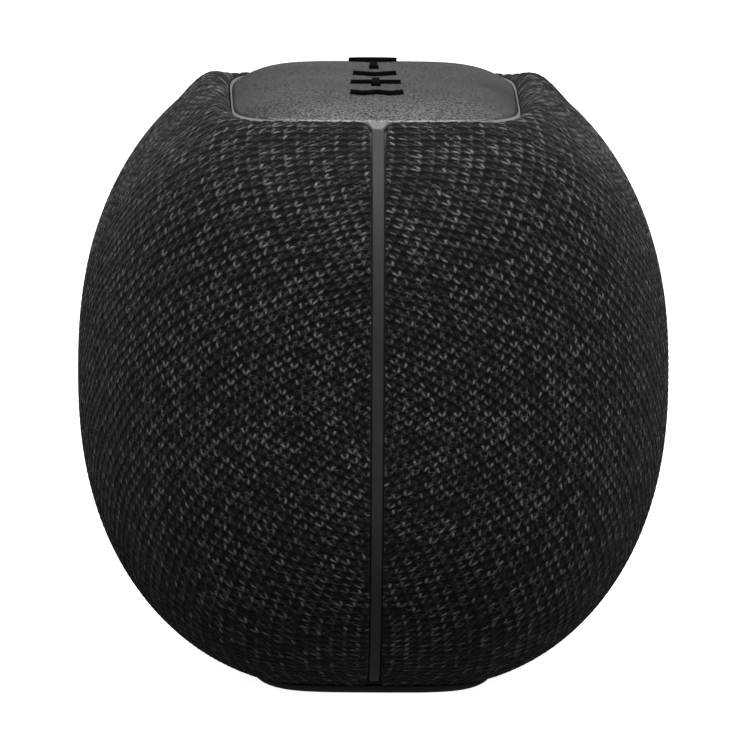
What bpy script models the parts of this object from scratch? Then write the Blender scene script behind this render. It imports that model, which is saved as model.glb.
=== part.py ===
"""A fabric-wrapped smart speaker hub, as an assembly of its separate pieces.

Lengths are in millimetres here and become metres when a mesh is made. The origin is at the middle of
the foot's underside, +Z is up, the two knitted covers face -X and +X, and the seam strips run down the
two ends, at -Y (front) and +Y (rear). "Level" heights are measured from the body's widest plane.
"""

import math

import bmesh
import bpy

MM = 0.001
GAP = 0.3

# The body: a superellipse in each upright plane, cut off at the foot and at the top opening
WAIST_Z = 68.0
BODY_HALF_X, BODY_HALF_Y, BODY_HALF_Z = 65.5, 82.0, 69.6
BODY_POWER_X, BODY_POWER_Y = 2.35, 3.1
WAIST_PLAN_POWER, BOTTOM_PLAN_POWER, SHOULDER_PLAN_POWER = 2.65, 4.0, 4.4
BOTTOM_LEVEL, SHOULDER_LEVEL = -65.8, 56.0
SHOULDER_SLOPE, SHOULDER_FALL = 0.9, 0.5
FABRIC, WALL = 1.6, 2.2
WALL_INSET, WALL_TOP_SHARE = FABRIC + GAP + 0.05, 1.8

# The top opening and the panel in it
OPENING = (32.25, 57.9, 6.5)
RING_OUTER = (31.95, 57.6, 6.5)
PANEL = (31.3, 56.9, 4.8)
PANEL_SEAT = (31.6, 57.2, 4.8)
RING_INNER = (28.5, 53.0, 4.8)
PANEL_LEVEL, PANEL_THICK = 65.3, 1.2
PANEL_FALL_X, PANEL_FALL_Y, FALL_POWER_X, FALL_POWER_Y = 5.3, 4.7, 5.0, 5.5
LIP_LEVEL, LIP_END_DROP, LIP_POWER = 60.7, 0.2, 4
RING_LIP_DROP, RING_TOP_DROP, RING_SEAT_DROP, RING_UNDER_DROP = 0.1, 0.15, 1.6, 3.2
RING_DEPTH = 3.4
TAB_HALF, TAB_REACH, TAB_FALL, TAB_TAPER, TAB_THICK = 2.3, 2.7, 1.15, 0.6, 0.8

# Seam strips
STRIP_HALF_TOP, STRIP_HALF_BOTTOM, STRIP_INSET, STRIP_THICK = 1.38, 1.18, 0.45, 0.85
STRIP_TOP_SHARE = 1.58
SEAM_GAP, CORNER_FLARE, CORNER_DEPTH = 0.3, 1.3, 3.0

# Buttons, from the far end (+Y) to the near end (-Y)
BUTTON_PITCH, BUTTON_RISE, BUTTON_CLEAR = 19.0, 0.8, 0.25
ARM = 0.85
FLANGE_R, FLANGE_THICK, FLANGE_CLEAR = 6.3, 0.6, 0.3
PLUNGER_R, PLUNGER_GAP = 1.5, 0.6
MEMBRANE_LEVEL, MEMBRANE_THICK = 60.2, 0.8
MEMBRANE, BOARD = (8.0, 50.0, 6.0), (24.0, 48.5, 8.0)
BOARD_LEVEL, BOARD_THICK = 57.5, 1.2
CHIP_THICK = 1.0
RIBBON_HALF, RIBBON_THICK, RIBBON_DROP_Y = 5.0, 0.5, 52.4

# Tray under the panel
TRAY = (31.9, 57.3, 6.0)
TRAY_WALL, TRAY_LEVEL, TRAY_FLOOR, TRAY_RIM = 1.5, 53.9, 1.6, 56.5

# Foot and base
FOOT_HEIGHT, FOOT_TUCK = 1.9, 4.4
BASE_LEVEL, BASE_FLANGE, BASE_TOP = -65.7, 1.3, -61.5
BASE_FLANGE_PLAN, BASE_PLUG_PLAN = (25.8, 44.3, 4.0), (24.8, 42.8, 4.0)
BASE_SCREW = (20.0, 26.0)
BOARD_POST = (14.0, 30.0)
MAIN_BOARD_LEVEL, MAIN_BOARD_HALF = -50.0, (22.0, 40.0)

# Drivers, on the X axis at the widest plane
BAFFLE_X, HORN_R, HORN_FLARE = 50.0, 30.8, 0.2
FLANGE_RING_R, DRIVER_SCREW_R = 37.5, 35.2
ROLL_R, ROLL_HALF, ROLL_RISE, ROLL_THICK = 27.55, 2.75, 2.4, 0.7

# Power inlet at the rear end
PORT_LEVEL, PORT_HALF, PORT_POWER = -30.0, (13.0, 7.5), 5.0
PORT_BACK_Y, PORT_INSET = 73.5, 0.6
INLET_R, INLET_BORE_R, INLET_FRONT_Y, INLET_FLOOR_Y, INLET_BACK_Y = 4.2, 3.3, 77.4, 67.5, 65.5

ROUND = 28
SMALL_ROUND = 12
SKIN_COLUMNS, SKIN_ROWS, SHOULDER_ROWS = 22, 13, 5


# ---------------------------------------------------------------- materials

def material(name, colour, roughness, metallic=0.0):
    found = bpy.data.materials.get(name)
    if found:
        return found
    made = bpy.data.materials.new(name)
    made.use_nodes = True
    shader = made.node_tree.nodes["Principled BSDF"]
    shader.inputs["Base Color"].default_value = (*colour, 1.0)
    shader.inputs["Roughness"].default_value = roughness
    shader.inputs["Metallic"].default_value = metallic
    return made


FINISHES = {
    "knit": ((0.018, 0.018, 0.019), 0.9),
    "panel": ((0.11, 0.11, 0.115), 0.45, 0.4),
    "trim": ((0.22, 0.22, 0.21), 0.5),
    "strip": ((0.05, 0.05, 0.05), 0.5),
    "black_plastic": ((0.012, 0.012, 0.012), 0.5),
    "button": ((0.008, 0.008, 0.008), 0.6),
    "rubber": ((0.01, 0.01, 0.01), 0.85),
    "circuit": ((0.01, 0.09, 0.04), 0.5),
    "metal": ((0.55, 0.55, 0.56), 0.35, 1.0),
    "paper_cone": ((0.03, 0.03, 0.03), 0.8),
    "cable": ((0.35, 0.33, 0.3), 0.6),
}


# ---------------------------------------------------------------- mesh tools

def add_piece(name, points, faces, finish, cutter=False, origin=(0.0, 0.0, 0.0)):
    """Makes a closed mesh from points in mm. The object's origin is at origin, also in mm."""
    mesh = bpy.data.meshes.new(name)
    placed = [tuple((p - o) * MM for p, o in zip(point, origin)) for point in points]
    mesh.from_pydata(placed, [], faces)
    shape = bmesh.new()
    shape.from_mesh(mesh)
    bmesh.ops.remove_doubles(shape, verts=shape.verts, dist=1e-7)
    bmesh.ops.recalc_face_normals(shape, faces=shape.faces)
    shape.to_mesh(mesh)
    shape.free()
    mesh.shade_smooth()
    mesh.set_sharp_from_angle(angle=math.radians(35))
    piece = bpy.data.objects.new(name, mesh)
    piece.location = tuple(o * MM for o in origin)
    bpy.context.scene.collection.objects.link(piece)
    mesh.materials.append(material(finish, *FINISHES[finish]))
    if cutter:
        piece.hide_render = True
        piece.display_type = "WIRE"
    return piece


def boolean(piece, tool, operation="DIFFERENCE"):
    step = piece.modifiers.new(tool.name, "BOOLEAN")
    step.operation = operation
    step.object = tool
    step.solver = "EXACT"


def ring_faces(first, second, count):
    """Quads between two closed rings of count points that start at these indices."""
    return [
        (first + k, first + (k + 1) % count, second + (k + 1) % count, second + k)
        for k in range(count)
    ]


def stack(name, rings, first, last, finish, **options):
    """A closed body through rings of points, ended by a fan at each end."""
    count = len(rings[0])
    points = [p for ring in rings for p in ring]
    faces = []
    for level in range(len(rings) - 1):
        faces += ring_faces(level * count, (level + 1) * count, count)
    start, end = len(points), len(points) + 1
    points += [first, last]
    top = (len(rings) - 1) * count
    faces += [(start, (k + 1) % count, k) for k in range(count)]
    faces += [(end, top + k, top + (k + 1) % count) for k in range(count)]
    return add_piece(name, points, faces, finish, **options)


def band(name, rings, finish, **options):
    """A closed band: the rings are the corners of its section, each going all the way round."""
    count = len(rings[0])
    points = [p for ring in rings for p in ring]
    faces = []
    for level in range(len(rings)):
        faces += ring_faces(level * count, (level + 1) % len(rings) * count, count)
    return add_piece(name, points, faces, finish, **options)


def shell(name, outer, inner, finish, **options):
    """A closed sheet between two grids of points, given as rows."""
    rows, columns = len(outer), len(outer[0])
    points = [p for row in outer for p in row] + [p for row in inner for p in row]
    back = rows * columns
    faces = []
    for r in range(rows - 1):
        for c in range(columns - 1):
            a, b = r * columns + c, r * columns + c + 1
            d, e = a + columns, b + columns
            faces += [(a, b, e, d), (back + a, back + d, back + e, back + b)]
    rim = [(0, c) for c in range(columns)] + [(r, columns - 1) for r in range(1, rows)]
    rim += [(rows - 1, c) for c in range(columns - 2, -1, -1)]
    rim += [(r, 0) for r in range(rows - 2, 0, -1)]
    edge = [r * columns + c for r, c in rim]
    for k, a in enumerate(edge):
        b = edge[(k + 1) % len(edge)]
        faces.append((a, b, back + b, back + a))
    return add_piece(name, points, faces, finish, **options)


def circle(radius, at, axis, centre=(0.0, 0.0, 0.0), count=ROUND):
    """A ring of points of this radius, across axis "x", "y" or "z", at a place along it."""
    ring = []
    for k in range(count):
        turn = 2 * math.pi * (k + 0.5) / count
        u, w = radius * math.cos(turn), radius * math.sin(turn)
        offset = {"x": (at, u, w), "y": (w, at, u), "z": (u, w, at)}[axis]
        ring.append(tuple(o + c for o, c in zip(offset, centre)))
    return ring


def turned(name, profile, axis, finish, centre=(0.0, 0.0, 0.0), count=ROUND, **options):
    """A body turned about an axis from (place, radius) pairs. Radius 0 at both ends closes it."""
    if profile[0][1] > 0:
        rings = [circle(r, at, axis, centre, count) for at, r in profile]
        return band(name, rings, finish, **options)
    ends = [circle(0.0, profile[k][0], axis, centre, 1)[0] for k in (0, -1)]
    rings = [circle(r, at, axis, centre, count) for at, r in profile[1:-1]]
    return stack(name, rings, ends[0], ends[1], finish, **options)


def oval_point(angle, half_x, half_y, power):
    """The point of a superellipse in this direction from its middle."""
    reach = abs(math.cos(angle) / half_x) ** power + abs(math.sin(angle) / half_y) ** power
    reach = reach ** (-1.0 / power)
    return reach * math.cos(angle), reach * math.sin(angle)


def oval(plan, height, count=ROUND):
    """A superellipse ring. height is a number or a function of x and y."""
    ring = []
    for k in range(count):
        x, y = oval_point(2 * math.pi * k / count, *plan)
        ring.append((x, y, height(x, y) if callable(height) else height))
    return ring


def scaled(plan, share):
    return plan[0] * share, plan[1] * share, plan[2]


def prism(name, outline, low, high, finish, centre=(0.0, 0.0), **options):
    """An upright block over an outline of x, y points, which its middle can see all of."""
    rings = [[(x + centre[0], y + centre[1], z) for x, y in outline] for z in (low, high)]
    ends = [(*centre, z) for z in (low, high)]
    return stack(name, rings, ends[0], ends[1], finish, **options)


def box_outline(half_x, half_y):
    return [(half_x, -half_y), (half_x, half_y), (-half_x, half_y), (-half_x, -half_y)]


def box(name, low, high, finish, **options):
    centre = ((low[0] + high[0]) / 2, (low[1] + high[1]) / 2)
    outline = box_outline((high[0] - low[0]) / 2, (high[1] - low[1]) / 2)
    return prism(name, outline, low[2], high[2], finish, centre=centre, **options)


# ---------------------------------------------------------------- the body's surface

def half_extent(level, half, half_height, power):
    share = min(1.0, abs(level) / half_height)
    return half * (1.0 - share**power) ** (1.0 / power)


def panel_level(x, y):
    """Height of the panel's top face over the widest plane: crowned, and rolled down at its ends."""
    across, along = abs(x) / PANEL[0], abs(y) / PANEL[1]
    over = max(1.0, (across ** PANEL[2] + along ** PANEL[2]) ** (1.0 / PANEL[2]))
    fall = PANEL_FALL_X * (across / over) ** FALL_POWER_X
    return PANEL_LEVEL - fall - PANEL_FALL_Y * (along / over) ** FALL_POWER_Y


def lip_level(y):
    """Height of the covers' top edge round the opening, over the widest plane."""
    return LIP_LEVEL - LIP_END_DROP * (abs(y) / OPENING[1]) ** LIP_POWER


def shoulder_climb(reach, fall, over):
    """Height over the shoulder's edge, a share over of the way to the lip. reach is the distance to
    the lip and fall the height up to it."""
    start, end = SHOULDER_SLOPE * reach, -SHOULDER_FALL * reach
    climb = start * over * (1.0 - over) ** 2 - end * over**2 * (1.0 - over)
    return climb + fall * over**2 * (3.0 - 2.0 * over)


def body_plan(level, inset):
    """Half width, half length and power of the body's outline at a level of its outer face."""
    half_x = half_extent(level, BODY_HALF_X, BODY_HALF_Z, BODY_POWER_X)
    half_y = half_extent(level, BODY_HALF_Y, BODY_HALF_Z, BODY_POWER_Y)
    end, power = (
        (SHOULDER_LEVEL, SHOULDER_PLAN_POWER) if level > 0 else (BOTTOM_LEVEL, BOTTOM_PLAN_POWER)
    )
    power = WAIST_PLAN_POWER + (power - WAIST_PLAN_POWER) * (level / end) ** 4
    half_x *= (BODY_HALF_X - inset) / BODY_HALF_X
    half_y *= (BODY_HALF_Y - inset) / BODY_HALF_Y
    return half_x, half_y, power


def edge_angle(plan, edge_x):
    """Direction of the outline's point that lies edge_x from the seam's plane."""
    y = plan[1] * (1.0 - (edge_x / plan[0]) ** plan[2]) ** (1.0 / plan[2])
    return math.atan2(y, edge_x)


def body_level(share):
    """Level of the outer face, from the bottom opening (0) to the shoulder (1)."""
    low = math.asin(BOTTOM_LEVEL / BODY_HALF_Z)
    high = math.asin(SHOULDER_LEVEL / BODY_HALF_Z)
    return BODY_HALF_Z * math.sin(low + (high - low) * share)


def skin_row(v, inset, edge, columns, side):
    """Points across one half of the body, from the front seam to the rear one. v runs from 0 at the
    bottom to 1 at the shoulder, and on to 2 at the top opening."""
    outer_level = body_level(min(v, 1.0))
    plan = body_plan(outer_level, inset)
    level = outer_level * (BODY_HALF_Z - inset) / BODY_HALF_Z
    over = max(0.0, v - 1.0)
    start = edge_angle(plan, edge(level))
    opening = edge_angle(OPENING, edge(lip_level(OPENING[1]) - inset))
    row = []
    for k in range(columns + 1):
        part = 2.0 * k / columns - 1.0
        x, y = oval_point(start * part, *plan)
        z = level
        if over:
            lip_x, lip_y = oval_point(opening * part, *OPENING)
            reach = math.hypot(lip_x - x, lip_y - y)
            x, y = x + (lip_x - x) * over, y + (lip_y - y) * over
            z += shoulder_climb(reach, lip_level(lip_y) - inset - level, over)
        row.append((side * x, y, WAIST_Z + z))
    return row


def seam_point(v, inset):
    """Distance from the Z axis and level of the skin's centre line, down the middle of an end."""
    outer_level = body_level(min(v, 1.0))
    reach = body_plan(outer_level, inset)[1]
    level = outer_level * (BODY_HALF_Z - inset) / BODY_HALF_Z
    over = max(0.0, v - 1.0)
    climb = shoulder_climb(reach - OPENING[1], lip_level(OPENING[1]) - inset - level, over)
    return reach + (OPENING[1] - reach) * over, level + climb


def skin_share(level):
    """The share v of the outer face that lies at this level, below the shoulder."""
    low = math.asin(BOTTOM_LEVEL / BODY_HALF_Z)
    high = math.asin(SHOULDER_LEVEL / BODY_HALF_Z)
    return (math.asin(level / BODY_HALF_Z) - low) / (high - low)


def skin_grid(inset, edge, side, top=2.0):
    """Rows of points over one half of the body, from the bottom opening to share top."""
    shares = [k / SKIN_ROWS for k in range(SKIN_ROWS)]
    shares += [1.0 + (top - 1.0) * k / SHOULDER_ROWS for k in range(SHOULDER_ROWS + 1)]
    return [skin_row(v, inset, edge, SKIN_COLUMNS, side) for v in shares]


def strip_half(level):
    share = (level - BOTTOM_LEVEL) / (SHOULDER_LEVEL - BOTTOM_LEVEL)
    return STRIP_HALF_BOTTOM + (STRIP_HALF_TOP - STRIP_HALF_BOTTOM) * share


def cover_edge(level):
    """How far a cover's edge stays from the seam's plane. Its top corners are rounded off."""
    near = min(1.0, max(0.0, 1.0 - (lip_level(OPENING[1]) - level) / CORNER_DEPTH))
    return strip_half(level) + SEAM_GAP + CORNER_FLARE * near**2


def wall_edge(_level):
    return GAP / 2


# ---------------------------------------------------------------- covers and enclosure

def port_outline(grow, power=PORT_POWER, count=24):
    plan = (PORT_HALF[0] + grow, PORT_HALF[1] + grow, power)
    return [oval_point(2 * math.pi * k / count, *plan) for k in range(count)]


def port_cutter(name):
    """A block through the rear wall, a gap wider than the port panel all round."""
    rings = [
        [(x, y, WAIST_Z + PORT_LEVEL + z) for x, z in port_outline(GAP)]
        for y in (PORT_BACK_Y - 6.0, BODY_HALF_Y + 4.0)
    ]
    ends = [(0.0, rings[k][0][1], WAIST_Z + PORT_LEVEL) for k in (0, 1)]
    return stack(name, rings, ends[0], ends[1], "black_plastic", cutter=True)


def make_covers(cutter):
    for side, name in ((-1, "fabric_cover_left"), (1, "fabric_cover_right")):
        outer = skin_grid(0.0, cover_edge, side)
        inner = skin_grid(FABRIC, cover_edge, side)
        boolean(shell(name, outer, inner, "knit"), cutter)


def flat_ended(grid):
    """The inner face of an enclosure half, cut flat where the driver seats."""
    return [
        [(math.copysign(min(abs(x), BAFFLE_X), x), y, z) for x, y, z in row] for row in grid
    ]


def make_boss(piece, side, along):
    """A screw boss for the base, and the rib that joins it to the wall."""
    x, y = side * BASE_SCREW[0], along * BASE_SCREW[1]
    low, high = BASE_TOP + WAIST_Z + GAP, BASE_TOP + WAIST_Z + 11.0
    tag = f"{piece.name}_{'front' if along < 0 else 'rear'}"
    profile = [(low, 0.0), (low, 3.4), (high, 3.4), (high, 0.0)]
    boss = turned(f"{tag}_boss", profile, "z", "black_plastic", (x, y, 0.0), 16, cutter=True)
    boolean(piece, boss, "UNION")
    span = sorted((side * (BASE_SCREW[0] + 1.0), side * 31.0))
    rib = box(
        f"{tag}_rib",
        (span[0], y - 1.2, low + 0.4),
        (span[1], y + 1.2, high - 2.0),
        "black_plastic",
        cutter=True,
    )
    boolean(piece, rib, "UNION")
    hole = [(low - 2.0, 0.0), (low - 2.0, 1.6), (high - 2.0, 1.6), (high - 2.0, 0.0)]
    bore = turned(f"{tag}_bore", hole, "z", "black_plastic", (x, y, 0.0), 12, cutter=True)
    boolean(piece, bore)


def driver_screw_places():
    """Where the four driver screws go, as y and level."""
    reach = DRIVER_SCREW_R * math.sqrt(0.5)
    return [(y * reach, z * reach) for y, z in ((1, 1), (-1, 1), (-1, -1), (1, -1))]


def make_enclosure(cutter):
    for side, name in ((-1, "enclosure_left"), (1, "enclosure_right")):
        outer = skin_grid(WALL_INSET, wall_edge, side, WALL_TOP_SHARE)
        inner = skin_grid(WALL_INSET + WALL, wall_edge, side, WALL_TOP_SHARE)
        piece = shell(name, outer, flat_ended(inner), "black_plastic")
        near, far = side * (BAFFLE_X - 4.0), side * (BODY_HALF_X + 4.0)
        flare = HORN_R + HORN_FLARE * 14.0
        horn = turned(
            f"{name}_horn",
            [(near, 0.0), (near, HORN_R), (side * BAFFLE_X, HORN_R), (far, flare), (far, 0.0)],
            "x",
            "black_plastic",
            (0.0, 0.0, WAIST_Z),
            cutter=True,
        )
        boolean(piece, horn)
        boolean(piece, cutter)
        for k, (y, level) in enumerate(driver_screw_places()):
            ends = sorted((side * (BAFFLE_X - 3.0), side * (BAFFLE_X + 5.2)))
            profile = [(ends[0], 0.0), (ends[0], 1.4), (ends[1], 1.4), (ends[1], 0.0)]
            place = (0.0, y, WAIST_Z + level)
            hole = turned(f"{name}_pilot_{k}", profile, "x", "metal", place, 8, cutter=True)
            boolean(piece, hole)
        for along in (-1, 1):
            make_boss(piece, side, along)


def make_strip(name, end, low, high, steps=18):
    """A seam strip down one end of the body, between two shares v of the skin."""
    grids = []
    for inset in (STRIP_INSET, STRIP_INSET + STRIP_THICK):
        grid = []
        for k in range(steps + 1):
            reach, level = seam_point(low + (high - low) * k / steps, inset)
            half = strip_half(level)
            grid.append([(half * s, end * reach, WAIST_Z + level) for s in (-1, 0, 1)])
        grids.append(grid)
    shell(name, grids[0], grids[1], "strip")


# ---------------------------------------------------------------- top: ring, tray, panel, buttons

def dropped(drop):
    return lambda x, y: WAIST_Z + panel_level(x, y) - drop


def tabbed(ring):
    """Draws the ring's outline out and down into a small tab over each seam strip."""
    moved = []
    for x, y, z in ring:
        if abs(x) < TAB_HALF:
            x, y, z = x * TAB_TAPER, y + math.copysign(TAB_REACH, y), z - TAB_FALL
        moved.append((x, y, z))
    return moved


def ring_outline(drop):
    """The ring's outer edge, this far under the covers' lip: its points face the covers', and a tab
    starts between two of them."""
    plan, ring = RING_OUTER, []
    seam = edge_angle(OPENING, cover_edge(lip_level(OPENING[1])))
    sides = [seam * (2.0 * k / SKIN_COLUMNS - 1.0) for k in range(SKIN_COLUMNS + 1)]
    sides += [turn * edge_angle(plan, TAB_HALF + s) for turn in (1, -1) for s in (-0.05, 0.05)]
    places = [start + angle for start in (0.0, math.pi) for angle in sides]
    places += [math.pi / 2, -math.pi / 2]
    for angle in sorted(place % (2 * math.pi) for place in places):
        x, y = oval_point(angle, *plan)
        ring.append((x, y, WAIST_Z + lip_level(y) - drop))
    return ring


def matched(plan, drop, ring):
    """A ring of the plan whose points face those of the ring's outer edge."""
    points = []
    for x, y, _z in ring:
        px, py = oval_point(math.atan2(y / RING_OUTER[1], x / RING_OUTER[0]), 1.0, 1.0, plan[2])
        px, py = px * plan[0], py * plan[1]
        points.append((px, py, dropped(drop)(px, py)))
    return points


def make_ring():
    outer = ring_outline(RING_LIP_DROP)
    tab_low = RING_LIP_DROP + TAB_THICK
    rings = [
        tabbed(outer),
        matched(PANEL_SEAT, RING_TOP_DROP, outer),
        matched(PANEL_SEAT, RING_SEAT_DROP, outer),
        matched(RING_INNER, RING_SEAT_DROP, outer),
        matched(RING_INNER, RING_UNDER_DROP, outer),
        ring_outline(RING_DEPTH),
        ring_outline(tab_low + 0.4),
        tabbed(ring_outline(tab_low)),
    ]
    band("top_ring", rings, "trim")


def make_tray():
    inner = (TRAY[0] - TRAY_WALL, TRAY[1] - TRAY_WALL, TRAY[2])
    low, floor, rim = (WAIST_Z + level for level in (TRAY_LEVEL, TRAY_LEVEL + TRAY_FLOOR, TRAY_RIM))
    rings = [oval(TRAY, low), oval(TRAY, rim), oval(inner, rim), oval(inner, floor)]
    tray = stack("top_tray", rings, (0.0, 0.0, low), (0.0, 0.0, floor), "black_plastic")
    top = WAIST_Z + BOARD_LEVEL - GAP
    for k, (x, y) in enumerate(((20, 36), (-20, 36), (-20, -36), (20, -36))):
        profile = [(floor - 0.8, 0.0), (floor - 0.8, 2.0), (top, 2.0), (top, 0.0)]
        post = turned(f"tray_post_{k}", profile, "z", "black_plastic", (x, y, 0.0), 10, cutter=True)
        boolean(tray, post, "UNION")
    slot_low = (-RIBBON_HALF - 1.0, RIBBON_DROP_Y - 1.3, low - 2.0)
    slot_high = (RIBBON_HALF + 1.0, RIBBON_DROP_Y + 1.3, floor + 2.0)
    boolean(tray, box("tray_slot", slot_low, slot_high, "cable", cutter=True))


def disc_outline(half, grow):
    turns = [2 * math.pi * k / 24 for k in range(24)]
    return [((half + grow) * math.cos(turn), (half + grow) * math.sin(turn)) for turn in turns]


def plus_outline(half, grow):
    arm, reach = ARM + grow, half + grow
    quarter = [(reach, -arm), (reach, arm), (arm, arm)]
    turns = [(1, 0), (0, 1), (-1, 0), (0, -1)]
    return [(x * c - y * s, x * s + y * c) for c, s in turns for x, y in quarter]


def zigzag_outline(half, depth, dips, grow):
    """A band as wide as two arms that dips towards the near end this many times."""
    steps = 2 * dips
    xs = [(-half + 2.0 * half * k / steps) for k in range(steps + 1)]
    ys = [-depth * (k % 2) for k in range(steps + 1)]
    xs[0], xs[-1] = xs[0] - grow, xs[-1] + grow
    slope = math.hypot(1.0, depth / (half / dips))
    arm = ARM * slope + grow * slope
    lower = [(x, y + depth / 2 - arm) for x, y in zip(xs, ys)]
    upper = [(x, y + depth / 2 + arm) for x, y in zip(xs, ys)]
    return lower + upper[::-1]


BUTTONS = [
    ("power_button", 2, lambda g: disc_outline(5.4, g)),
    ("minus_button", 1, lambda g: box_outline(ARM + g, 4.6 + g)),
    ("play_button", 0, lambda g: zigzag_outline(4.8, 3.6, 1, g)),
    ("plus_button", -1, lambda g: plus_outline(5.55, g)),
    ("pairing_button", -2, lambda g: zigzag_outline(5.85, 1.6, 2, g)),
]


def add_extrusion(name, outline, low, high, y, finish, tilt=0.0, **options):
    """An upright block whose end faces are single polygons, for outlines that fold back. Its top
    rises by tilt for each mm along y."""
    count = len(outline)
    points = [(px, py + y, low) for px, py in outline]
    points += [(px, py + y, high + tilt * py) for px, py in outline]
    faces = ring_faces(0, count, count)
    faces += [tuple(reversed(range(count))), tuple(range(count, 2 * count))]
    return add_piece(name, points, faces, finish, **options)


def make_panel():
    shares = (0.4, 0.75, 0.94, 1.0)
    edge = ring_outline(0.0)
    top = [matched(scaled(PANEL, s), 0.0, edge) for s in shares]
    under = [matched(scaled(PANEL, s), PANEL_THICK, edge) for s in reversed(shares)]
    ends = [(0.0, 0.0, WAIST_Z + PANEL_LEVEL - drop) for drop in (0.0, PANEL_THICK)]
    panel = stack("top_panel", top + under, ends[0], ends[1], "panel")
    for name, place, outline in BUTTONS:
        y = place * BUTTON_PITCH
        low, high = WAIST_Z + PANEL_LEVEL - 5.0, WAIST_Z + PANEL_LEVEL + 3.0
        hole = add_extrusion(
            f"{name}_hole", outline(BUTTON_CLEAR), low, high, y, "button", cutter=True
        )
        boolean(panel, hole)


def make_buttons():
    for name, place, outline in BUTTONS:
        y = place * BUTTON_PITCH
        face = WAIST_Z + panel_level(0.0, y)
        tilt = (panel_level(0.0, y + 1.0) - panel_level(0.0, y - 1.0)) / 2.0
        lowest = WAIST_Z + panel_level(FLANGE_R, abs(y) + FLANGE_R)
        flange_top = lowest - PANEL_THICK - FLANGE_CLEAR
        flange_low = flange_top - FLANGE_THICK
        plunger_low = WAIST_Z + MEMBRANE_LEVEL + MEMBRANE_THICK + PLUNGER_GAP
        origin = (0.0, y, face)
        top = add_extrusion(
            name,
            outline(0.0),
            flange_top - FLANGE_THICK / 2,
            face + BUTTON_RISE,
            y,
            "button",
            tilt=tilt,
            origin=origin,
        )
        profile = [
            (plunger_low, 0.0),
            (plunger_low, PLUNGER_R),
            (flange_low, PLUNGER_R),
            (flange_low, FLANGE_R),
            (flange_top, FLANGE_R),
            (flange_top, 0.0),
        ]
        flange = turned(f"{name}_flange", profile, "z", "button", (0.0, y, 0.0), 24, cutter=True)
        boolean(top, flange, "UNION")


def make_switchgear():
    low = WAIST_Z + MEMBRANE_LEVEL
    pad = [oval_point(2 * math.pi * k / 24, *MEMBRANE) for k in range(24)]
    prism("button_membrane", pad, low, low + MEMBRANE_THICK, "rubber")
    low = WAIST_Z + BOARD_LEVEL
    board = [oval_point(2 * math.pi * k / 24, *BOARD) for k in range(24)]
    prism("control_board", board, low, low + BOARD_THICK, "circuit")
    top = low + BOARD_THICK + 0.2
    for name, place, _outline in BUTTONS:
        y = place * BUTTON_PITCH
        switch = name.replace("button", "switch")
        box(switch, (-2.6, y - 2.6, top), (2.6, y + 2.6, top + CHIP_THICK), "metal")
    for side, word in ((-1, "left"), (1, "right")):
        x, y = side * 19.0, -30.0
        low, high = (x - 1.8, y - 1.4, top), (x + 1.8, y + 1.4, top + CHIP_THICK)
        box(f"microphone_{word}", low, high, "metal")
    low = WAIST_Z + TRAY_LEVEL + TRAY_FLOOR + GAP
    box("antenna", (24.5, -17.0, low), (28.0, 17.0, low + 0.8), "circuit")


def make_ribbon():
    """The flat cable from the control board, down through the tray, to the main board."""
    start = WAIST_Z + BOARD_LEVEL + BOARD_THICK / 2
    end = WAIST_Z + MAIN_BOARD_LEVEL + 2.4
    drop = RIBBON_DROP_Y
    path = [(BOARD[1] + 0.5, start), (drop - 1.5, start), (drop - 0.4, start - 0.8)]
    path += [(drop, start - 3.0), (drop, start - 60.0), (drop - 1.0, end + 18.0)]
    path += [(44.0, end + 5.0), (38.0, end + 1.0), (34.0, end)]
    outer, inner = [], []
    for k, (y, z) in enumerate(path):
        before, after = path[max(0, k - 1)], path[min(len(path) - 1, k + 1)]
        dy, dz = after[0] - before[0], after[1] - before[1]
        length = math.hypot(dy, dz)
        ny, nz = -dz / length * RIBBON_THICK / 2, dy / length * RIBBON_THICK / 2
        outer.append([(x, y + ny, z + nz) for x in (-RIBBON_HALF, RIBBON_HALF)])
        inner.append([(x, y - ny, z - nz) for x in (-RIBBON_HALF, RIBBON_HALF)])
    shell("ribbon_cable", outer, inner, "cable")


# ---------------------------------------------------------------- drivers

def surround_profile(side):
    """A half roll between the cone's rim and the frame, as (x, radius) pairs."""
    face = side * (BAFFLE_X - 2.3)
    steps = 4
    profile = []
    for thick, order in ((ROLL_THICK, range(steps + 1)), (0.0, range(steps, -1, -1))):
        for k in order:
            turn = math.pi * k / steps
            rise = (ROLL_RISE - ROLL_THICK + thick) * math.sin(turn) + thick
            spread = ROLL_HALF if k in (0, steps) else ROLL_HALF - ROLL_THICK + thick
            profile.append((face + side * rise, ROLL_R + spread * math.cos(turn)))
    return profile


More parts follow.
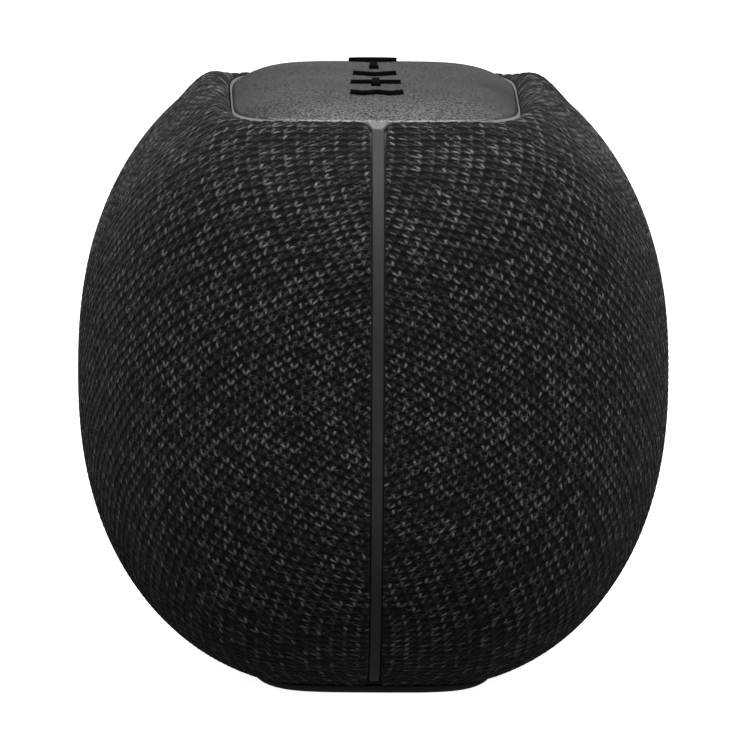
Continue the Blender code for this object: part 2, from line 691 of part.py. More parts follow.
def make_driver():
    centre = (0.0, 0.0, WAIST_Z)
    basket = turned(
        "woofer_basket",
        [
            (-49.7, FLANGE_RING_R), (-49.7, 30.6), (-47.4, 30.6), (-25.6, 15.5), (-25.6, 9.5),
            (-23.8, 9.5), (-23.8, 18.0), (-46.9, 32.4), (-46.9, FLANGE_RING_R),
        ],
        "x", "black_plastic", centre,
    )
    turned(
        "woofer_magnet",
        [
            (-23.0, 0.0), (-23.0, 6.4), (-12.5, 6.4), (-12.5, 9.9), (-23.5, 9.9), (-23.5, 28.0),
            (-9.5, 28.0), (-9.5, 0.0),
        ],
        "x", "metal", centre,
    )
    turned(
        "woofer_cone",
        [
            (-38.6, 0.0), (-37.6, 5.0), (-35.2, 8.6), (-47.6, 24.4), (-46.6, 24.4), (-33.6, 8.8),
            (-16.0, 8.8), (-16.0, 7.4), (-34.5, 7.4), (-36.6, 0.0),
        ],
        "x", "paper_cone", centre,
    )
    turned("woofer_surround", surround_profile(-1), "x", "rubber", centre)
    frame = turned(
        "radiator_frame",
        [
            (49.7, FLANGE_RING_R), (49.7, 30.6), (42.0, 30.6), (42.0, 32.4), (46.9, 32.4),
            (46.9, FLANGE_RING_R),
        ],
        "x", "black_plastic", centre,
    )
    turned(
        "radiator_diaphragm",
        [
            (48.4, 0.0), (48.2, 12.0), (47.6, 24.4), (46.6, 24.4), (46.0, 12.0), (40.0, 12.0),
            (40.0, 0.0),
        ],
        "x", "paper_cone", centre,
    )
    turned("radiator_surround", surround_profile(1), "x", "rubber", centre)
    for side, holder, word in ((-1, basket, "woofer"), (1, frame, "radiator")):
        for k, (y, level) in enumerate(driver_screw_places()):
            place = (0.0, y, WAIST_Z + level)
            hole = [(side * 44.0, 0.0), (side * 44.0, 1.4), (side * 52.0, 1.4), (side * 52.0, 0.0)]
            bore = turned(f"{word}_hole_{k}", hole, "x", "metal", place, 8, cutter=True)
            boolean(holder, bore)
            screw = [
                (side * 54.4, 0.0), (side * 54.4, 1.0), (side * 46.6, 1.0), (side * 46.6, 2.0),
                (side * 45.2, 2.0), (side * 45.2, 0.9), (side * 46.0, 0.0),
            ]
            turned(f"{word}_screw_{k + 1}", screw, "x", "metal", place, SMALL_ROUND)


# ---------------------------------------------------------------- base, boards and inlet

def make_foot():
    low, high = 0.0, FOOT_HEIGHT
    plan = body_plan(BOTTOM_LEVEL, 0.0)
    rings = []
    for k in range(5):
        share = k / 4
        tuck = GAP + FOOT_TUCK * (1.0 - math.sqrt(share)) ** 1.4
        height = low + (high - low) * share
        rings.append(oval((plan[0] - tuck, plan[1] - tuck, plan[2]), height, 36))
    stack("base_foot", rings, (0.0, 0.0, low), (0.0, 0.0, high), "rubber")


def make_base():
    low = WAIST_Z + BASE_LEVEL
    step, high = low + BASE_FLANGE, WAIST_Z + BASE_TOP
    rings = [oval(BASE_FLANGE_PLAN, low), oval(BASE_FLANGE_PLAN, step), oval(BASE_PLUG_PLAN, step)]
    rings.append(oval(BASE_PLUG_PLAN, high))
    base = stack("base_plate", rings, (0.0, 0.0, low), (0.0, 0.0, high), "black_plastic")
    top = WAIST_Z + MAIN_BOARD_LEVEL - GAP
    corners = [(x, y) for x in (-1, 1) for y in (-1, 1)]
    for k, (sx, sy) in enumerate(corners):
        x, y = sx * BOARD_POST[0], sy * BOARD_POST[1]
        profile = [(high - 1.0, 0.0), (high - 1.0, 3.2), (top, 3.2), (top, 0.0)]
        post = turned(f"base_post_{k}", profile, "z", "black_plastic", (x, y, 0.0), 14, cutter=True)
        boolean(base, post, "UNION")
        hole = [(top - 7.0, 0.0), (top - 7.0, 1.3), (top + 2.0, 1.3), (top + 2.0, 0.0)]
        bore = turned(f"base_post_bore_{k}", hole, "z", "metal", (x, y, 0.0), 8, cutter=True)
        boolean(base, bore)
        x, y = sx * BASE_SCREW[0], sy * BASE_SCREW[1]
        hole = [
            (low - 2.0, 0.0), (low - 2.0, 3.0), (low + 1.9, 3.0), (low + 1.9, 1.6),
            (high + 2.0, 1.6), (high + 2.0, 0.0),
        ]
        bore = turned(f"base_bore_{k}", hole, "z", "metal", (x, y, 0.0), 14, cutter=True)
        boolean(base, bore)
        head = low + 0.3
        screw = [
            (head + 0.8, 0.0), (head, 1.1), (head, 2.6), (head + 1.3, 2.6), (head + 1.3, 1.2),
            (head + 11.0, 1.2), (head + 11.0, 0.0),
        ]
        turned(f"base_screw_{k + 1}", screw, "z", "metal", (x, y, 0.0), SMALL_ROUND)


def make_main_board():
    low = WAIST_Z + MAIN_BOARD_LEVEL
    high = low + 1.6
    half_x, half_y = MAIN_BOARD_HALF
    board = box("main_board", (-half_x, -half_y, low), (half_x, half_y, high), "circuit")
    corners = [(x, y) for x in (-1, 1) for y in (-1, 1)]
    for k, (sx, sy) in enumerate(corners):
        place = (sx * BOARD_POST[0], sy * BOARD_POST[1], 0.0)
        hole = [(low - 2.0, 0.0), (low - 2.0, 1.3), (high + 2.0, 1.3), (high + 2.0, 0.0)]
        boolean(board, turned(f"board_hole_{k}", hole, "z", "metal", place, 8, cutter=True))
        screw = [
            (high + 1.0, 0.0), (high + 1.6, 0.9), (high + 1.6, 2.0), (high + 0.3, 2.0),
            (high + 0.3, 1.0), (low - 6.0, 1.0), (low - 6.0, 0.0),
        ]
        turned(f"board_screw_{k + 1}", screw, "z", "metal", place, SMALL_ROUND)
    floor = high + GAP
    box("wireless_module", (-8.0, 8.0, floor), (8.0, 28.0, floor + 2.4), "metal")
    make_heat_sink(floor)


def make_heat_sink(floor):
    """A finned block. Its outline in x and z is drawn along y."""
    fins, fin, space, base, height = 6, 2.0, 3.0, 2.2, 8.0
    width = fins * fin + (fins - 1) * space
    outline = [(-width / 2, 0.0), (width / 2, 0.0)]
    for k in reversed(range(fins)):
        right = -width / 2 + k * (fin + space) + fin
        outline += [(right, height), (right - fin, height)]
        if k:
            outline += [(right - fin, base), (right - fin - space, base)]
    count = len(outline)
    points = [(x, y, floor + z) for y in (-26.0, 2.0) for x, z in outline]
    faces = ring_faces(0, count, count)
    faces += [tuple(range(count)), tuple(range(2 * count - 1, count - 1, -1))]
    add_piece("heat_sink", points, faces, "metal")


def make_port():
    """The small panel round the power inlet, following the body's surface on its outer face."""
    rings = []
    shares = (0.45, 0.85, 1.0)
    for share in shares:
        ring = []
        for x, z in port_outline(0.0):
            level = PORT_LEVEL + z * share
            plan = body_plan(level, PORT_INSET)
            y = plan[1] * (1.0 - abs(x * share / plan[0]) ** plan[2]) ** (1.0 / plan[2])
            ring.append((x * share, y, WAIST_Z + level))
        rings.append(ring)
    back = [(x, PORT_BACK_Y, WAIST_Z + PORT_LEVEL + z) for x, z in port_outline(0.0)]
    rings.append(back)
    middle = body_plan(PORT_LEVEL, PORT_INSET)[1]
    ends = [(0.0, y, WAIST_Z + PORT_LEVEL) for y in (middle, PORT_BACK_Y)]
    panel = stack("port_panel", rings, ends[0], ends[1], "black_plastic")
    centre = (0.0, 0.0, WAIST_Z + PORT_LEVEL)
    hole_r = INLET_R + GAP
    profile = [(60.0, 0.0), (60.0, hole_r), (90.0, hole_r), (90.0, 0.0)]
    boolean(panel, turned("port_hole", profile, "y", "metal", centre, 24, cutter=True))
    flange = PORT_BACK_Y - GAP
    turned(
        "power_inlet",
        [
            (INLET_FRONT_Y, INLET_R), (INLET_FRONT_Y, INLET_BORE_R), (INLET_FLOOR_Y, INLET_BORE_R),
            (INLET_FLOOR_Y, 1.3), (INLET_BACK_Y, 1.3), (INLET_BACK_Y, INLET_R + 2.2),
            (flange, INLET_R + 2.2), (flange, INLET_R),
        ],
        "y", "black_plastic", centre, 24,
    )
    pin = [(63.0, 0.0), (63.0, 1.0), (71.6, 1.0), (72.2, 0.6), (72.2, 0.0)]
    turned("inlet_pin", pin, "y", "metal", centre, SMALL_ROUND)


def make_strips():
    low = 0.012
    port_low, port_high = (
        skin_share(PORT_LEVEL + s * (PORT_HALF[1] + GAP + 0.4)) for s in (-1, 1)
    )
    make_strip("seam_strip_front", -1, low, STRIP_TOP_SHARE)
    make_strip("seam_strip_rear_lower", 1, low, port_low, 8)
    make_strip("seam_strip_rear_upper", 1, port_high, STRIP_TOP_SHARE, 14)


def build():
    for leftover in list(bpy.data.objects):
        bpy.data.objects.remove(leftover, do_unlink=True)
    cutter = port_cutter("port_cutter")
    make_covers(cutter)
    make_enclosure(cutter)
    make_strips()
    make_ring()
    make_tray()
    make_panel()
    make_buttons()
    make_switchgear()
    make_ribbon()
    make_driver()
    make_foot()
    make_base()
    make_main_board()
    make_port()


build()
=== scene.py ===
"""A fabric-wrapped smart speaker hub: the finished surfaces, materials, light and camera, built
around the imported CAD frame.

Shapes are worked out in millimetres in the frame's own axes and become metres in add_piece. The two
knitted covers face -X and +X, the seam strips run down the ends at -Y (front) and +Y (rear).
"""

import math

import bmesh
import bpy
import numpy as np
from mathutils import Matrix, Vector


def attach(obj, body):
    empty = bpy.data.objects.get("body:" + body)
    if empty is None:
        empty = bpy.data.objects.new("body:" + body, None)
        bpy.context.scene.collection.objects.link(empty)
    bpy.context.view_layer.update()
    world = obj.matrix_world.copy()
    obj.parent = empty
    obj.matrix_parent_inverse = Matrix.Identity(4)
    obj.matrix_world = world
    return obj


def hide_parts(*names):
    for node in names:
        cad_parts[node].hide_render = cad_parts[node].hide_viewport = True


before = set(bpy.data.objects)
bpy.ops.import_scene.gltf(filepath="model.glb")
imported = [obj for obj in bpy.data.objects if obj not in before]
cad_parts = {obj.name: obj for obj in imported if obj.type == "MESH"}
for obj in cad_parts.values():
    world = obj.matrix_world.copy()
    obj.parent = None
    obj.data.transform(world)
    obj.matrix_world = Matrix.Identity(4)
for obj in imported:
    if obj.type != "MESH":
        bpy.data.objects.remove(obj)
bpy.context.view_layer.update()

MM = 0.001

# The body: a superellipse in each upright plane, cut off at the foot and at the top. Its sizes are the
# CAD's, apart from the shoulder's roll and, in the next group, the levels of the covers' lip
WAIST_Z = 68.0
BODY_HALF_X, BODY_HALF_Y, BODY_HALF_Z = 65.5, 82.0, 69.6
BODY_POWER_X, BODY_POWER_Y = 2.35, 3.1
WAIST_PLAN_POWER, BOTTOM_PLAN_POWER, SHOULDER_PLAN_POWER = 2.65, 4.0, 4.4
BOTTOM_LEVEL, SHOULDER_LEVEL = -65.8, 56.0
SHOULDER_SLOPE, SHOULDER_ROLL, ROLL_POWER = 0.9, 1.36, 2.5

# The top opening, the ring in it and the panel in the ring: half width, half length and power, then
# their levels, falls and drops
OPENING = (32.25, 57.9, 6.5)
RING_OUTER = (31.95, 57.6, 6.5)
PANEL = (31.3, 56.9, 4.8)
PANEL_SEAT = (31.6, 57.2, 4.8)
RING_INNER = (28.5, 53.0, 4.8)
PANEL_LEVEL, PANEL_THICK, PANEL_EDGE, PANEL_COLUMNS = 65.3, 1.2, 0.4, 240
PANEL_FALL_X, PANEL_FALL_Y, FALL_POWER_X, FALL_POWER_Y = 5.3, 4.7, 5.0, 5.5
LIP_LEVEL, LIP_END_RISE, LIP_POWER = 60.0, 0.6, 10
RING_LIP_DROP, RING_TOP_DROP, RING_SEAT_DROP, RING_UNDER_DROP = 0.1, 0.15, 1.6, 3.2
RING_DEPTH, RING_COLUMNS, RING_EDGE, RING_SOFT = 3.4, 720, 0.12, (0.03, 0.04)
TAB_HALF, TAB_SLANT, TAB_REACH, TAB_FALL, TAB_TAPER, TAB_THICK = 2.3, 0.25, 2.7, 1.15, 0.6, 0.8

# Seam strips and the covers' edges beside them
STRIP_HALF_TOP, STRIP_HALF_BOTTOM, STRIP_INSET, STRIP_THICK = 1.38, 1.18, 0.45, 0.85
STRIP_LOW_SHARE, STRIP_TOP_SHARE = 0.012, 1.58
SEAM_GAP, CORNER_FLARE, CORNER_DEPTH = 0.3, 1.3, 3.0
EDGE_ROLL, EDGE_DEPTH = 0.7, 1.5

# The knit: a stitch on every other cell of a grid that lies flat over each side of the body
CELL, FLAT_RADIUS = 1.41, 69.0
STITCH_RELIEF, LEG_RELIEF = 0.09, 0.16
COVER_COLUMNS, COVER_ROWS, COVER_TOP_ROWS, TOP_SPAN = 620, 450, 80, 24.0
ROLL_STEPS, TUCK_STEPS = 5, 3
CELL_WANDER, SIDE_SHIFT = 0.16, 200.0
# The holes' near black is the dark body behind, deepened by painted shade
KNIT_HOLE_SHADE = (0.0015, 0.0015, 0.0016)
KNIT_DARK = (0.011, 0.011, 0.0115)
KNIT_LIGHT = (0.2, 0.197, 0.193)

# Buttons, from the far end (+Y) to the near end (-Y)
BUTTON_PITCH, BUTTON_RISE, BUTTON_CLEAR, BUTTON_EDGE = 19.0, 0.8, 0.25, 0.12
ARM = 0.85
FLANGE_R, FLANGE_THICK, FLANGE_CLEAR = 6.3, 0.6, 0.3

# Foot and the port at the rear
FOOT_HEIGHT, FOOT_TUCK, FOOT_GAP = 1.9, 4.4, 0.3
PORT_LEVEL, PORT_HALF, PORT_POWER = -30.0, (13.0, 7.5), 5.0
PORT_BACK_Y, PORT_INSET, PORT_GAP, PORT_HOLE_R = 73.5, 0.6, 0.3, 4.5

# The camera: its place round the body, its distance, and the width it takes in at the body
CAMERA_AZIMUTH, CAMERA_ELEVATION, CAMERA_ROLL = -0.75, 6.1, 0.33
CAMERA_DISTANCE, VIEW_WIDTH, AIM_X, AIM_Z = 6.5, 0.1668, 0.00044, 0.0663

# Floor and light, in metres and watts. The world shines by height: reach, and strength at each end
FLOOR_HALF, FLOOR_GLOW = 14.0, 0.95
FLOOR_WHITES = (0.9, 0.9, 0.9), (0.93, 0.93, 0.93)
LIGHT_AIM = (0.0, 0.0, 0.07)
LIGHTS = [
    ("top_softbox", (0.0, -0.25, 0.95), (1.1, 0.9), 9.0),
    ("front_softbox", (0.35, -1.9, 0.75), (1.2, 0.9), 10.0),
]
WORLD_GLOW = (0.95, 0.04, 0.85), (-1.0, 0.0, 0.16)


# ---------------------------------------------------------------- the body's surface

def half_extent(level, half, half_height, power):
    """Half of the body's extent across at a level, in one upright plane."""
    share = np.minimum(1.0, np.abs(level) / half_height)
    return half * (1.0 - share**power) ** (1.0 / power)


def panel_level(x, y):
    """Height of the panel's top face over the widest plane: flat in the middle, falling to its edges.
    Beyond the panel's outline the height stays that of the outline."""
    across, along = np.abs(x) / PANEL[0], np.abs(y) / PANEL[1]
    over = np.maximum(1.0, (across ** PANEL[2] + along ** PANEL[2]) ** (1.0 / PANEL[2]))
    fall = PANEL_FALL_X * (across / over) ** FALL_POWER_X
    return PANEL_LEVEL - fall - PANEL_FALL_Y * (along / over) ** FALL_POWER_Y


def lip_level(y):
    """Height of the covers' top edge round the opening, over the widest plane."""
    return LIP_LEVEL + LIP_END_RISE * (np.abs(y) / OPENING[1]) ** LIP_POWER


def shoulder_climb(reach, fall, over, lip_y):
    """Height over the shoulder's edge, a share over of the way to the lip. reach is the distance to
    the lip and fall the height up to it. The knit rolls down into the opening at the sides only."""
    roll = SHOULDER_ROLL * (1.0 - (np.abs(lip_y) / OPENING[1]) ** ROLL_POWER)
    start, end = SHOULDER_SLOPE * reach, roll * reach
    climb = start * over * (1.0 - over) ** 2 + end * over**2 * (1.0 - over)
    return climb + fall * over**2 * (3.0 - 2.0 * over)


END_LIP_LEVEL = lip_level(OPENING[1])


def body_plan(level, inset):
    """Half width, half length and power of the body's outline at a level of its outer face."""
    half_x = half_extent(level, BODY_HALF_X, BODY_HALF_Z, BODY_POWER_X)
    half_y = half_extent(level, BODY_HALF_Y, BODY_HALF_Z, BODY_POWER_Y)
    end = np.where(level > 0, SHOULDER_LEVEL, BOTTOM_LEVEL)
    power = np.where(level > 0, SHOULDER_PLAN_POWER, BOTTOM_PLAN_POWER)
    power = WAIST_PLAN_POWER + (power - WAIST_PLAN_POWER) * (level / end) ** 4
    half_x = half_x * (BODY_HALF_X - inset) / BODY_HALF_X
    half_y = half_y * (BODY_HALF_Y - inset) / BODY_HALF_Y
    return half_x, half_y, power


def edge_angle(plan, edge_x):
    """Direction of the outline's point that lies edge_x from the seam's plane."""
    y = plan[1] * (1.0 - (edge_x / plan[0]) ** plan[2]) ** (1.0 / plan[2])
    return np.arctan2(y, edge_x)


def oval_point(angle, half_x, half_y, power):
    """The point of a superellipse in this direction from its middle."""
    cosine, sine = np.cos(angle), np.sin(angle)
    reach = np.abs(cosine / half_x) ** power + np.abs(sine / half_y) ** power
    reach = reach ** (-1.0 / power)
    return reach * cosine, reach * sine


def body_level(share):
    """Level of the outer face, from the bottom opening (0) to the shoulder (1)."""
    low, high = math.asin(BOTTOM_LEVEL / BODY_HALF_Z), math.asin(SHOULDER_LEVEL / BODY_HALF_Z)
    return BODY_HALF_Z * np.sin(low + (high - low) * share)


def skin_share(level):
    """The share up the skin at which its outer face has this level."""
    low, high = math.asin(BOTTOM_LEVEL / BODY_HALF_Z), math.asin(SHOULDER_LEVEL / BODY_HALF_Z)
    return (math.asin(level / BODY_HALF_Z) - low) / (high - low)


def strip_half(level):
    """Half the seam strip's width at a level."""
    share = (level - BOTTOM_LEVEL) / (SHOULDER_LEVEL - BOTTOM_LEVEL)
    return STRIP_HALF_BOTTOM + (STRIP_HALF_TOP - STRIP_HALF_BOTTOM) * share


def cover_edge(level):
    """How far a cover's edge stays from the seam's plane. Its top corners are rounded off."""
    near = np.clip(1.0 - (END_LIP_LEVEL - level) / CORNER_DEPTH, 0.0, 1.0)
    return strip_half(level) + SEAM_GAP + CORNER_FLARE * near**2


def skin_points(v, part, inset, set_back):
    """Points of the +X half of the skin. v runs from 0 at the bottom to 1 at the shoulder, and on to
    2 at the top opening; part from -1 at the front seam to 1 at the rear one. set_back is how far
    inside the cover's edge part's ends lie. The arguments are arrays of one shape."""
    outer_level = body_level(np.minimum(v, 1.0))
    plan = body_plan(outer_level, inset)
    level = outer_level * (BODY_HALF_Z - inset) / BODY_HALF_Z
    over = np.maximum(0.0, v - 1.0)
    start = edge_angle(plan, cover_edge(level) + set_back)
    opening = edge_angle(OPENING, cover_edge(END_LIP_LEVEL - inset) + set_back)
    x, y = oval_point(start * part, *plan)
    lip_x, lip_y = oval_point(opening * part, *OPENING)
    fall = lip_level(lip_y) - inset - level
    climb = shoulder_climb(np.hypot(lip_x - x, lip_y - y), fall, over, lip_y)
    return np.stack(
        [x + (lip_x - x) * over, y + (lip_y - y) * over, WAIST_Z + level + climb], axis=-1
    )


def seam_point(v, inset):
    """Distance from the Z axis and level of the skin's centre line, down the middle of an end."""
    outer_level = body_level(min(v, 1.0))
    reach = float(body_plan(outer_level, inset)[1])
    level = outer_level * (BODY_HALF_Z - inset) / BODY_HALF_Z
    over = max(0.0, v - 1.0)
    climb = shoulder_climb(reach - OPENING[1], END_LIP_LEVEL - inset - level, over, OPENING[1])
    return reach + (OPENING[1] - reach) * over, level + climb


# ---------------------------------------------------------------- mesh tools

def add_piece(name, points, faces, body, nodes, sharp=32.0):
    """A mesh piece from points in mm, which rides on a body and stands for these CAD nodes."""
    mesh = bpy.data.meshes.new(name)
    placed = (np.asarray(points, dtype=float).reshape(-1, 3) * MM).tolist()
    mesh.from_pydata(placed, [], faces)
    shape = bmesh.new()
    shape.from_mesh(mesh)
    bmesh.ops.remove_doubles(shape, verts=shape.verts, dist=1e-7)
    bmesh.ops.recalc_face_normals(shape, faces=shape.faces)
    shape.to_mesh(mesh)
    shape.free()
    mesh.shade_smooth()
    mesh.set_sharp_from_angle(angle=math.radians(sharp))
    piece = bpy.data.objects.new(name, mesh)
    bpy.context.scene.collection.objects.link(piece)
    if body:
        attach(piece, body)
        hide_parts(*nodes)
    return piece


def ring_faces(first, second, count):
    """Quads between two closed rings of count points that start at these indices."""
    return [
        (first + k, first + (k + 1) % count, second + (k + 1) % count, second + k)
        for k in range(count)
    ]


def banded(rings, closed=True):
    """Points and faces through a list of rings, joined back to the first one if closed."""
    count = len(rings[0])
    points = [tuple(p) for ring in rings for p in ring]
    faces = []
    for level in range(len(rings) if closed else len(rings) - 1):
        faces += ring_faces(level * count, (level + 1) % len(rings) * count, count)
    return points, faces


def capped(rings, first, last):
    """Points and faces through a list of rings, ended by a fan at each end."""
    count = len(rings[0])
    points, faces = banded(rings, closed=False)
    start, end, top = len(points), len(points) + 1, (len(rings) - 1) * count
    faces += [(start, (k + 1) % count, k) for k in range(count)]
    faces += [(end, top + k, top + (k + 1) % count) for k in range(count)]
    return points + [first, last], faces


def even_ring(plan, count):
    """count points evenly spaced along a superellipse, from its +X end."""
    x, y = oval_point(np.linspace(0.0, 2.0 * math.pi, 4001), *plan)
    length = np.concatenate([[0.0], np.cumsum(np.hypot(np.diff(x), np.diff(y)))])
    places = np.linspace(0.0, length[-1], count, endpoint=False)
    return np.interp(places, length, x), np.interp(places, length, y)


def cut(piece, tool, operation="DIFFERENCE"):
    """Applies a Boolean with the tool, and removes the tool."""
    step = piece.modifiers.new("cut", "BOOLEAN")
    step.operation = operation
    step.object = tool
    step.solver = "EXACT"
    apply_modifiers(piece)
    bpy.data.objects.remove(tool, do_unlink=True)


def apply_modifiers(piece):
    """Replaces the piece's mesh with the one its modifiers give."""
    graph = bpy.context.evaluated_depsgraph_get()
    mesh = bpy.data.meshes.new_from_object(piece.evaluated_get(graph), depsgraph=graph)
    piece.modifiers.clear()
    piece.data = mesh


# ---------------------------------------------------------------- node materials

class Paint:
    """A node material in the making. Its methods return output sockets."""

    def __init__(self, name, roughness, metallic=0.0):
        self.material = bpy.data.materials.new(name)
        self.material.use_nodes = True
        self.tree = self.material.node_tree
        self.shader = self.tree.nodes["Principled BSDF"]
        self.shader.inputs["Roughness"].default_value = roughness
        self.shader.inputs["Metallic"].default_value = metallic

    def node(self, kind, inputs=(), **settings):
        made = self.tree.nodes.new(kind)
        for key, value in settings.items():
            setattr(made, key, value)
        for key, value in dict(inputs).items():
            if isinstance(value, bpy.types.NodeSocket):
                self.tree.links.new(value, made.inputs[key])
            else:
                made.inputs[key].default_value = value
        return made

    def math(self, operation, *values, clamp=False):
        inputs = dict(enumerate(values))
        return self.node("ShaderNodeMath", inputs, operation=operation, use_clamp=clamp).outputs[0]

    def smooth(self, value, low, high, to_low=0.0, to_high=1.0):
        inputs = {"Value": value, 1: low, 2: high, 3: to_low, 4: to_high}
        made = self.node("ShaderNodeMapRange", inputs, interpolation_type="SMOOTHSTEP")
        return made.outputs[0]

    def mix(self, factor, low, high):
        """A blend of two colours, given as three numbers or as sockets."""
        pick = [c if isinstance(c, bpy.types.NodeSocket) else (*c, 1.0) for c in (low, high)]
        inputs = {0: factor, 6: pick[0], 7: pick[1]}
        return self.node("ShaderNodeMix", inputs, data_type="RGBA").outputs[2]

    def place(self, stretch=(1.0, 1.0, 1.0)):
        """Object coordinates in mm, stretched."""
        where = self.node("ShaderNodeTexCoord").outputs["Object"]
        scale = tuple(s / MM for s in stretch)
        inputs = {"Vector": where, "Scale": scale}
        return self.node("ShaderNodeMapping", inputs).outputs["Vector"]

    def noise(self, where, size, detail=2.0, roughness=0.5):
        """Noise from 0 to 1 with features about size mm across."""
        inputs = {"Vector": where, "Scale": 1.0 / size, "Detail": detail, "Roughness": roughness}
        return self.node("ShaderNodeTexNoise", inputs).outputs[0]

    def relief(self, height, depth, strength=1.0):
        """Feeds a height from 0 to 1, depth mm deep, to the shader as bump."""
        inputs = {"Height": height, "Distance": depth * MM, "Strength": strength}
        bump = self.node("ShaderNodeBump", inputs)
        self.tree.links.new(bump.outputs[0], self.shader.inputs["Normal"])

    def colour(self, socket):
        self.tree.links.new(socket, self.shader.inputs["Base Color"])

    def roughness(self, socket):
        self.tree.links.new(socket, self.shader.inputs["Roughness"])


def moulded(name, colour, roughness, grain, depth, swing=0.18, specular=0.5):
    """Moulded plastic or rubber: a fine spark texture, faint flow marks and uneven gloss."""
    paint = Paint(name, roughness)
    paint.shader.inputs["Specular IOR Level"].default_value = specular
    where = paint.place()
    spark, flow = paint.noise(where, grain, 3.0, 0.6), paint.noise(where, grain * 40.0)
    shade = paint.math("MULTIPLY_ADD", paint.math("SUBTRACT", flow, 0.5), 0.6, spark)
    low, high = ([c * (1.0 + s * swing * 2.0) for c in colour] for s in (-1, 1))
    paint.colour(paint.mix(paint.smooth(shade, 0.25, 0.75), low, high))
    paint.roughness(paint.smooth(flow, 0.3, 0.7, roughness - 0.05, roughness + 0.06))
    paint.relief(spark, depth)
    return paint.material


def blasted(name, dark, light, roughness, metallic, grain, depth):
    """Bead-blasted metal: a fine speckle of light and dark grain tone, its light specks made strong
    enough to stand in for glints as painted glints, and dull when seen edge on.
    """
    paint = Paint(name, roughness, metallic)
    paint.shader.inputs["Specular Tint"].default_value = (0.17, 0.17, 0.18, 1.0)
    where = paint.place()
    grains_and_glints = paint.noise(where, grain, 4.0, 0.75)
    cloud = paint.noise(where, grain * 60.0)
    shade = paint.math("MULTIPLY_ADD", paint.math("SUBTRACT", cloud, 0.5), 0.25, grains_and_glints)
    # The light specks in the colour are grain tone and painted glints
    paint.colour(paint.mix(paint.smooth(shade, 0.32, 0.68), dark, light))
    paint.roughness(paint.smooth(grains_and_glints, 0.3, 0.7, roughness - 0.07, roughness + 0.07))
    paint.relief(grains_and_glints, depth)
    return paint.material


def drawn(name, colour, roughness, stretch, line):
    """Drawn or brushed metal: fine lines along one axis."""
    paint = Paint(name, roughness, 1.0)
    lines = paint.noise(paint.place(stretch), line, 3.0, 0.6)
    cloud = paint.noise(paint.place(), 6.0)
    low, high = ([c * s for c in colour] for s in (0.78, 1.12))
    paint.colour(paint.mix(paint.smooth(lines, 0.3, 0.7), low, high))
    paint.roughness(paint.smooth(cloud, 0.3, 0.7, roughness - 0.06, roughness + 0.08))
    paint.relief(lines, 0.01)
    return paint.material


def circuit_board():
    """Solder mask over straight copper tracks, with tinned pads."""
    paint = Paint("circuit_mask", 0.42)
    where = paint.place()
    track = paint.node(
        "ShaderNodeTexVoronoi",
        {"Vector": where, "Scale": 0.22, "Randomness": 0.85},
        feature="F1",
        distance="CHEBYCHEV",
    )
    rings = paint.math("FRACT", paint.math("MULTIPLY", track.outputs["Distance"], 5.0))
    line = paint.smooth(paint.math("ABSOLUTE", paint.math("SUBTRACT", rings, 0.5)), 0.1, 0.16)
    green = paint.mix(line, (0.02, 0.16, 0.07), (0.008, 0.075, 0.035))
    dots = paint.node("ShaderNodeTexVoronoi", {"Vector": where, "Scale": 0.3}, feature="F1")
    pad = paint.smooth(dots.outputs["Distance"], 0.13, 0.17)
    paint.colour(paint.mix(pad, (0.55, 0.54, 0.5), green))
    paint.roughness(paint.smooth(pad, 0.0, 1.0, 0.28, 0.46))
    paint.relief(paint.math("SUBTRACT", 1.0, line), 0.03)
    return paint.material


def pressed_pulp():
    """Black paper pulp: matted fibres of uneven shade."""
    paint = Paint("pressed_pulp", 0.85)
    long = paint.noise(paint.place((1.0, 0.25, 1.0)), 0.5, 5.0, 0.7)
    cross = paint.noise(paint.place((1.0, 1.0, 0.25)), 0.5, 5.0, 0.7)
    fibres = paint.math("MAXIMUM", long, cross)
    paint.colour(paint.mix(paint.smooth(fibres, 0.4, 0.75), (0.014,) * 3, (0.055, 0.054, 0.05)))
    paint.relief(fibres, 0.08)
    return paint.material


def flat_film():
    """A ribbon cable: copper tracks showing as lines through its film."""
    paint = Paint("ribbon_film", 0.4)
    across = paint.node("ShaderNodeSeparateXYZ", {0: paint.place()}).outputs[0]
    lines = paint.math("ABSOLUTE", paint.math("SUBTRACT", paint.math("FRACT", across), 0.5))
    track = paint.smooth(lines, 0.2, 0.3)
    paint.colour(paint.mix(track, (0.46, 0.43, 0.37), (0.3, 0.29, 0.27)))
    paint.relief(track, 0.05)
    return paint.material


